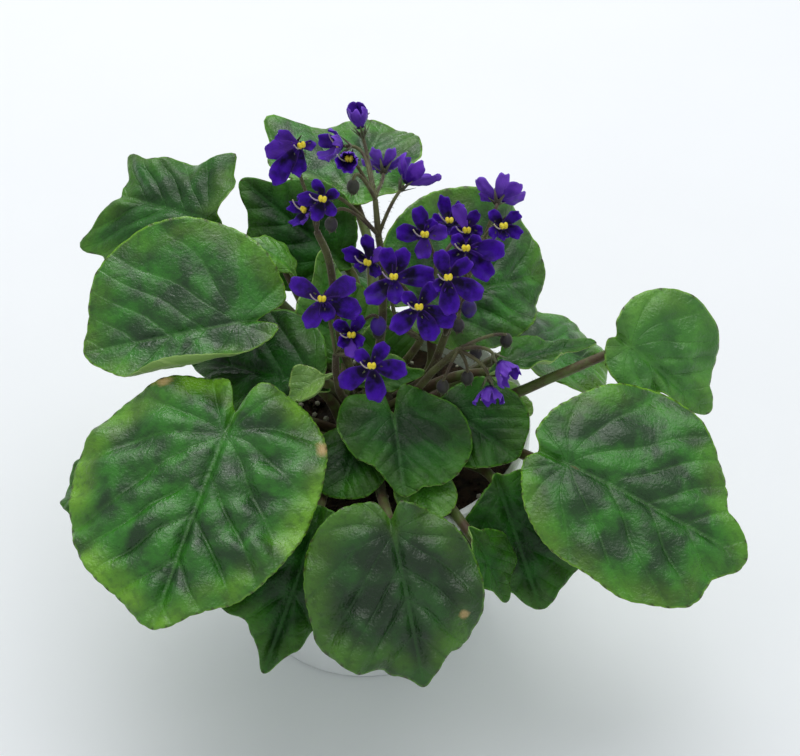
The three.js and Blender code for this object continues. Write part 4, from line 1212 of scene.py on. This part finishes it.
@dataclass(frozen=True)
class Stalk:
    """A trunk with side branches, the pedicels of its flowers, and its buds."""

    name: str
    trunk: tuple[Triple, ...]
    forks: tuple[tuple[Triple, tuple[str, ...]], ...]  # where, and the flowers that start there
    branches: tuple[tuple[Triple, Triple], ...] = ()
    buds: tuple[Bud, ...] = ()

    BASE = 1.6  # a stem's radius, like the next three
    FORK = 1.15
    BRANCH_END = 0.9
    PEDICEL = 0.7
    SEPAL = (0.28, 0.78, 5.0)  # half thickness, half width and length
    FLARE = 38  # degrees by which a flower's sepals stand off, and below it a bud's
    BUD_FLARE = 16
    PLUMP = 0.72  # a bud's half width, as a part of its size

    def pedicel(self, bloom: Bloom, fork: Triple) -> Tube:
        """The stem that curves from a fork to the back of a flower."""
        out = bloom.axes()[2]
        end = bloom.place(0, 0, -1.3) - out * 2
        start = Vector(fork)
        span = (end - start).length
        leaving = start.lerp(end, 0.3) + Vector((0, 0, 0.12 * span))
        path = cubic(start, leaving, end - out * 0.3 * span, end, 16)
        return Tube.tapered([*path, end + out * 2], self.PEDICEL * 0.95, self.PEDICEL * 0.8)

    def add_sepals(self, bm: bmesh.types.BMesh, seat: Matrix, flare: float) -> None:
        """Five narrow sepals in a ring.

        Args:
            bm: the mesh to add to.
            seat: the ring's place, with +Z toward the flower.
            flare: degrees by which they stand off the axis.
        """
        for number in range(5):
            cone = {"cap_ends": True, "segments": 8, "radius1": 1, "radius2": 0.16, "depth": 1}
            leaf = bmesh.ops.create_cone(bm, **cone)["verts"]
            bmesh.ops.scale(bm, vec=self.SEPAL, verts=leaf)
            stand = Matrix.Rotation(math.radians(flare), 4, "Y")
            stand = stand @ Matrix.Translation((0, 0, self.SEPAL[2] / 2))
            turn = Matrix.Rotation(math.radians(72 * number), 4, "Z")
            moved = seat @ turn @ Matrix.Translation((0.5, 0, 0)) @ stand
            bmesh.ops.transform(bm, matrix=moved, verts=leaf)

    def add_bud(self, bm: bmesh.types.BMesh, bud: Bud) -> Tube:
        """A drop-shaped bud; returns the pedicel that it hangs from."""
        drop = bmesh.ops.create_uvsphere(bm, u_segments=14, v_segments=10, radius=1)["verts"]
        for vert in drop:
            pinch = 1 - 0.3 * max(0.0, -vert.co.z)
            vert.co.x *= pinch
            vert.co.y *= pinch
        plump = self.PLUMP * bud.size
        bmesh.ops.scale(bm, vec=(plump, plump, bud.size), verts=drop)
        bmesh.ops.translate(bm, vec=bud.at, verts=drop)
        top = Vector(bud.at) + Vector((0, 0, 0.85 * bud.size))
        start, over = Vector(bud.root), Vector(bud.over)
        path = cubic(start, start.lerp(over, 2 / 3), top.lerp(over, 2 / 3), top, 12)
        return Tube.tapered(path, self.PEDICEL * 0.9, self.PEDICEL * 0.75)

    def build(self, blooms: dict[str, Bloom]) -> None:
        """Builds the stems, the sepals and the buds.

        Args:
            blooms: the flowers by name.
        """
        node = f"stalk_{self.name}"
        tubes = [Tube.tapered(smooth_path([Vector(p) for p in self.trunk], 8), self.BASE, self.FORK)]
        for ends in self.branches:
            start, end = (Vector(p) for p in ends)
            tubes.append(Tube.tapered([start.lerp(end, t / 8) for t in range(9)], self.FORK, self.BRANCH_END))
        green = bmesh.new()
        for where, names in self.forks:
            for name in names:
                bloom = blooms[name]
                tubes.append(self.pedicel(bloom, where))
                seat = upright_at(bloom.place(0, 0, -3.2), bloom.axes()[2])
                self.add_sepals(green, seat, self.FLARE)
        closed, showing = bmesh.new(), bmesh.new()
        for bud in self.buds:
            tubes.append(self.add_bud(showing if bud.showing else closed, bud))
            seat = upright_at(Vector(bud.at) + Vector((0, 0, 0.8 * bud.size)), Vector((0, 0, -1)))
            self.add_sepals(green, seat, self.BUD_FLARE)
        stems = bmesh.new()
        add_tubes(stems, tubes, 2)
        add_down(stems, tubes, spacing=0.22, length=0.9, seed=len(self.name))
        new_piece(f"stems_{self.name}", stems, [Finish.STALK], "stalk_brown", node)
        new_piece(f"sepals_{self.name}", green, [Finish.SEPAL], "stalk_brown", node)
        for name, bm, finish in (("closed", closed, Finish.BUD), ("opening", showing, Finish.BUD_SHOWING)):
            if bm.verts:
                new_piece(f"{name}_buds_{self.name}", bm, [finish], "stalk_brown", node)
            else:
                bm.free()


STALKS = [
    Stalk(
        "back", ((3, 4, 101), (7, 7, 125), (7, 8, 152), (6, 9, 162)),
        (((5, 14, 173), ("a2", "a3", "a4", "a5")), ((6, 9, 162), ("a6", "a7"))),
        (((6, 9, 162), (5, 14, 173)),),
        (Bud((5, 14, 173), (-1, 13, 189), (-2, 10, 181)), Bud((6, 9, 162), (-6, 6, 182), (-9, 2, 172))),
    ),
    Stalk(
        "left", ((-1, 2, 101), (-7, 6, 120), (-10, 9, 150), (-14, 10, 163)),
        (((-14, 10, 163), ("a1", "a8")),),
    ),
    Stalk(
        "right", ((11, -1, 100), (22, 2, 107), (28, 4, 123), (35, 10, 143), (41, 16, 156)),
        (((41, 16, 156), ("b1", "b2")), ((35, 10, 143), ("b5", "b6")), ((28, 4, 123), ("b7",))),
        (),
        (
            Bud((35, 10, 143), (33, -2, 144), (32, -8, 138)),
            Bud((28, 4, 123), (36, -9, 160), (35, -16, 152), 3.6, True),
        ),
    ),
    Stalk(
        "middle", ((7, 4, 101), (14, 6, 109), (20, 4, 122), (21, 3, 134)),
        (((25, 9, 150), ("b3", "b4")), ((21, 3, 134), ("c2", "c4")), ((12, 0, 132), ("c1",))),
        (((21, 3, 134), (25, 9, 150)), ((20, 4, 122), (12, 0, 132))),
        (Bud((20, 4, 122), (14, -6, 136), (6, -9, 136)),),
    ),
    Stalk(
        "front_left", ((0, -4, 101), (-6, -11, 109), (-8, -12, 121), (-8, -12, 129)),
        (((-8, -12, 129), ("c5", "c6", "c8")),), (),
        (Bud((-8, -12, 129), (4, -13, 152), (6, -14, 143), 3.8, True),),
    ),
    Stalk(
        "right_low", ((8, -6, 99.5), (18, -8.5, 110), (24, -11, 121), (32, -14, 133)),
        (((32, -14, 133), ("d1", "d2")),), (),
        (
            Bud((32, -14, 133), (43, -8, 136), (48, -5, 129)),
            Bud((32, -14, 133), (30, -18, 132), (27, -20, 122)),
            Bud((32, -14, 133), (35, -17, 131), (35, -18, 124)),
            Bud((32, -14, 133), (37, -9, 133), (38, -8, 126)),
        ),
    ),
]


# ---- pot, soil and crown


@dataclass(frozen=True)
class Pot:
    """A round nursery pot with a rolled rim band and four drain holes."""

    height: float = 90
    base: float = 40
    rim: float = 57
    wall: float = 2
    floor: float = 3
    band: float = 9
    proud: float = 0.8
    hole: float = 4
    hole_ring: float = 24

    def inside(self, height: float) -> float:
        """The inner wall's radius at a height."""
        flare = (self.rim - self.base) * (height - self.floor) / (self.height - self.floor)
        return self.base - self.wall + flare

    def build(self) -> None:
        """Turns the pot, rounds its edges and drills its holes."""
        edge = self.rim + self.proud
        step = self.height - self.band
        bottom = self.base - self.wall
        profile = [
            (0, 0), (self.base - 1.5, 0), (self.base - 0.5, 0.4), (self.base, 1.4),
            (self.rim - 0.4, step), (edge - 0.5, step + 0.4), (edge - 0.1, step + 1.3),
            (edge, self.height - 1.4), (edge - 0.25, self.height - 0.4), (edge - 0.8, self.height),
            (self.rim - self.wall + 0.5, self.height), (self.rim - self.wall, self.height - 0.5),
            (self.inside(60), 60), (bottom + 0.4, self.floor + 2), (bottom - 2, self.floor), (0, self.floor),
        ]
        bm = lathe(profile, 96)
        piece = new_piece("pot_shell", bm, [Finish.POT], "pot_plastic", "pot")
        size = self.hole * MM
        drill = {"cap_ends": True, "segments": 24, "radius1": size, "radius2": size, "depth": 16 * MM}
        drills = bmesh.new()
        for number in range(4):
            place = direction(45 + 90 * number, 0) * self.hole_ring * MM
            bmesh.ops.create_cone(drills, matrix=Matrix.Translation(place), **drill)
        cutter = in_scene("drills", as_mesh("drills", drills))
        cut = piece.modifiers.new("holes", "BOOLEAN")
        cut.operation = "DIFFERENCE"
        cut.object = cutter
        bpy.context.view_layer.update()
        drilled = bpy.data.meshes.new_from_object(piece.evaluated_get(bpy.context.evaluated_depsgraph_get()))
        piece.modifiers.clear()
        piece.data = drilled
        bpy.data.objects.remove(cutter)
        drilled.shade_smooth()
        drilled.set_sharp_from_angle(angle=math.radians(35))


@dataclass(frozen=True)
class Soil:
    """Peat-based potting mix with crumbs and grains of perlite."""

    pot: Pot
    top: float = 80
    gap: float = 0.9
    crumbs: int = 420
    perlite: int = 90

    def build(self) -> None:
        """A heap with an uneven top, then the loose bits on it."""
        outer = self.pot.inside(self.top) - self.gap
        low = self.pot.floor + 0.3
        rings = 26  # across the top, so that it can be uneven
        profile = [(0, low), (self.pot.inside(3) - 3, low)]
        profile += [(self.pot.inside(6) - self.gap, 6.0), (outer, self.top - 1.5)]
        profile += [(outer * (1 - k / rings), self.top) for k in range(1, rings)]
        profile.append((0, self.top))
        bm = lathe(profile, 120)
        places = coordinates(bm)
        up = places[:, 2] > self.top - 1
        x, y = places[:, 0], places[:, 1]
        heave = 0.9 * lumps(x, y, 9, 3) + 0.5 * lumps(x, y, 3, 4)
        places[:, 2] += np.where(up, heave, 0)
        put(bm, places)
        new_piece("soil_heap", bm, [Finish.SOIL], "potting_mix", "soil")
        self.scatter("soil_crumbs", self.crumbs, (0.5, 1.5), Finish.SOIL, 11)
        self.scatter("perlite", self.perlite, (0.7, 1.6), Finish.PERLITE, 12)

    def scatter(self, name: str, count: int, sizes: tuple[float, float], finish: Finish, seed: int) -> None:
        """Lays small lumps over the soil, half sunk.

        Args:
            name: the piece's name.
            count: how many lumps.
            sizes: smallest and largest radius.
            finish: their finish.
            seed: which scatter.
        """
        draw = np.random.default_rng(seed)
        bm = bmesh.new()
        for _ in range(count):
            radius = (self.pot.inside(self.top) - 3) * math.sqrt(draw.uniform(0.06, 1))
            place = direction(draw.uniform(0, 360), 0) * radius
            size = draw.uniform(*sizes)
            lump = bmesh.ops.create_icosphere(bm, subdivisions=1, radius=size)["verts"]
            for vert in lump:
                vert.co *= draw.uniform(0.75, 1.1)
            bmesh.ops.translate(bm, vec=(place.x, place.y, self.top + 0.3 * size), verts=lump)
        new_piece(name, bm, [finish], "potting_mix", "soil")


@dataclass(frozen=True)
class Crown:
    """The short corky stem, ringed by old leaf scars."""

    scars: int = 16

    def build(self) -> None:
        """A turned stub whose surface is pushed out in scars."""
        heights = np.linspace(CROWN_BOTTOM, CROWN_TOP - 6, 24)
        profile = [(0, CROWN_BOTTOM), *((CROWN_RADIUS, float(z)) for z in heights)]
        profile += [(CROWN_RADIUS - 1.5, CROWN_TOP - 2.5), (CROWN_RADIUS - 4, CROWN_TOP - 0.6)]
        profile.append((0, CROWN_TOP))
        bm = lathe(profile, 48, CROWN_X)
        places = coordinates(bm)
        turn = np.arctan2(places[:, 1], places[:, 0] - CROWN_X)
        ring = 0.5 * np.sin(places[:, 2] * 1.4 + 3 * turn) * np.cos(5 * turn) - 0.4
        keep = np.hypot(places[:, 0] - CROWN_X, places[:, 1]) > 3
        flat = np.stack([np.cos(turn), np.sin(turn)], axis=1) * np.where(keep, ring, 0)[:, None]
        places[:, :2] += flat
        put(bm, places)
        new_piece("crown_stub", bm, [Finish.CROWN], "crown_bark", "crown")


# ---- studio


@dataclass(frozen=True)
class Studio:
    """A pale floor, a soft box above and behind, and the camera."""

    target: Triple = (13, 0, 108)
    distance: float = 760
    elevation: float = 42
    lens: float = 101.25

    def build(self) -> None:
        """Sets up the floor, the lights and the camera."""
        self.build_floor()
        self.build_light("soft_box_above", (90, 400, 1400), (0, 0, 60), 1400, 9.8)
        self.build_light("soft_box_behind", (-250, 900, 1000), (0, 0, 90), 450, 3.2)
        world = bpy.data.worlds.new("studio_air")
        world.use_nodes = True
        colour, strength = world.node_tree.nodes["Background"].inputs[:2]
        colour.default_value = linear("eef2f6")
        strength.default_value = 0.66
        bpy.context.scene.world = world
        bpy.context.scene.view_settings.view_transform = "Standard"
        self.build_camera()

    def build_floor(self) -> None:
        """A wide sheet of pale paper."""
        bm = bmesh.new()
        bmesh.ops.create_grid(bm, x_segments=8, y_segments=8, size=4000 * MM)
        floor = in_scene("studio_floor", as_mesh("studio_floor", bm))
        floor.data.materials.append(PALETTE.get(Finish.FLOOR))

    def build_light(self, name: str, at: Triple, toward: Triple, size: float, power: float) -> None:
        """A square soft box.

        Args:
            name: the light's name.
            at: its place.
            toward: the point that it faces.
            size: the length of its side.
            power: in watts.
        """
        data = bpy.data.lights.new(name, "AREA")
        data.size = size * MM
        data.energy = power
        light = in_scene(name, data)
        light.location = Vector(at) * MM
        light.rotation_euler = (Vector(toward) - Vector(at)).to_track_quat("-Z", "Y").to_euler()

    def build_camera(self) -> None:
        """Looks along +Y, down at the plant from the photograph's height."""
        data = bpy.data.cameras.new("studio_camera")
        data.lens = self.lens
        data.sensor_width = 36
        data.sensor_fit = "HORIZONTAL"
        camera = in_scene("studio_camera", data)
        camera.location = (Vector(self.target) + direction(-90, self.elevation) * self.distance) * MM
        camera.rotation_euler = (math.radians(90 - self.elevation), 0, 0)
        bpy.context.scene.camera = camera


# ---- the whole


def main() -> None:
    """Builds the pot, the plant and the studio in order."""
    logging.basicConfig(level=logging.INFO, format="%(name)s: %(message)s")
    Studio().build()
    pot = Pot()
    pot.build()
    Soil(pot).build()
    Crown().build()
    for leaf in LEAVES:
        leaf.build()
    blooms = {bloom.name: bloom for bloom in BLOOMS}
    for bloom in BLOOMS:
        bloom.build()
    for stalk in STALKS:
        stalk.build(blooms)


if __name__ == "__main__":
    main()
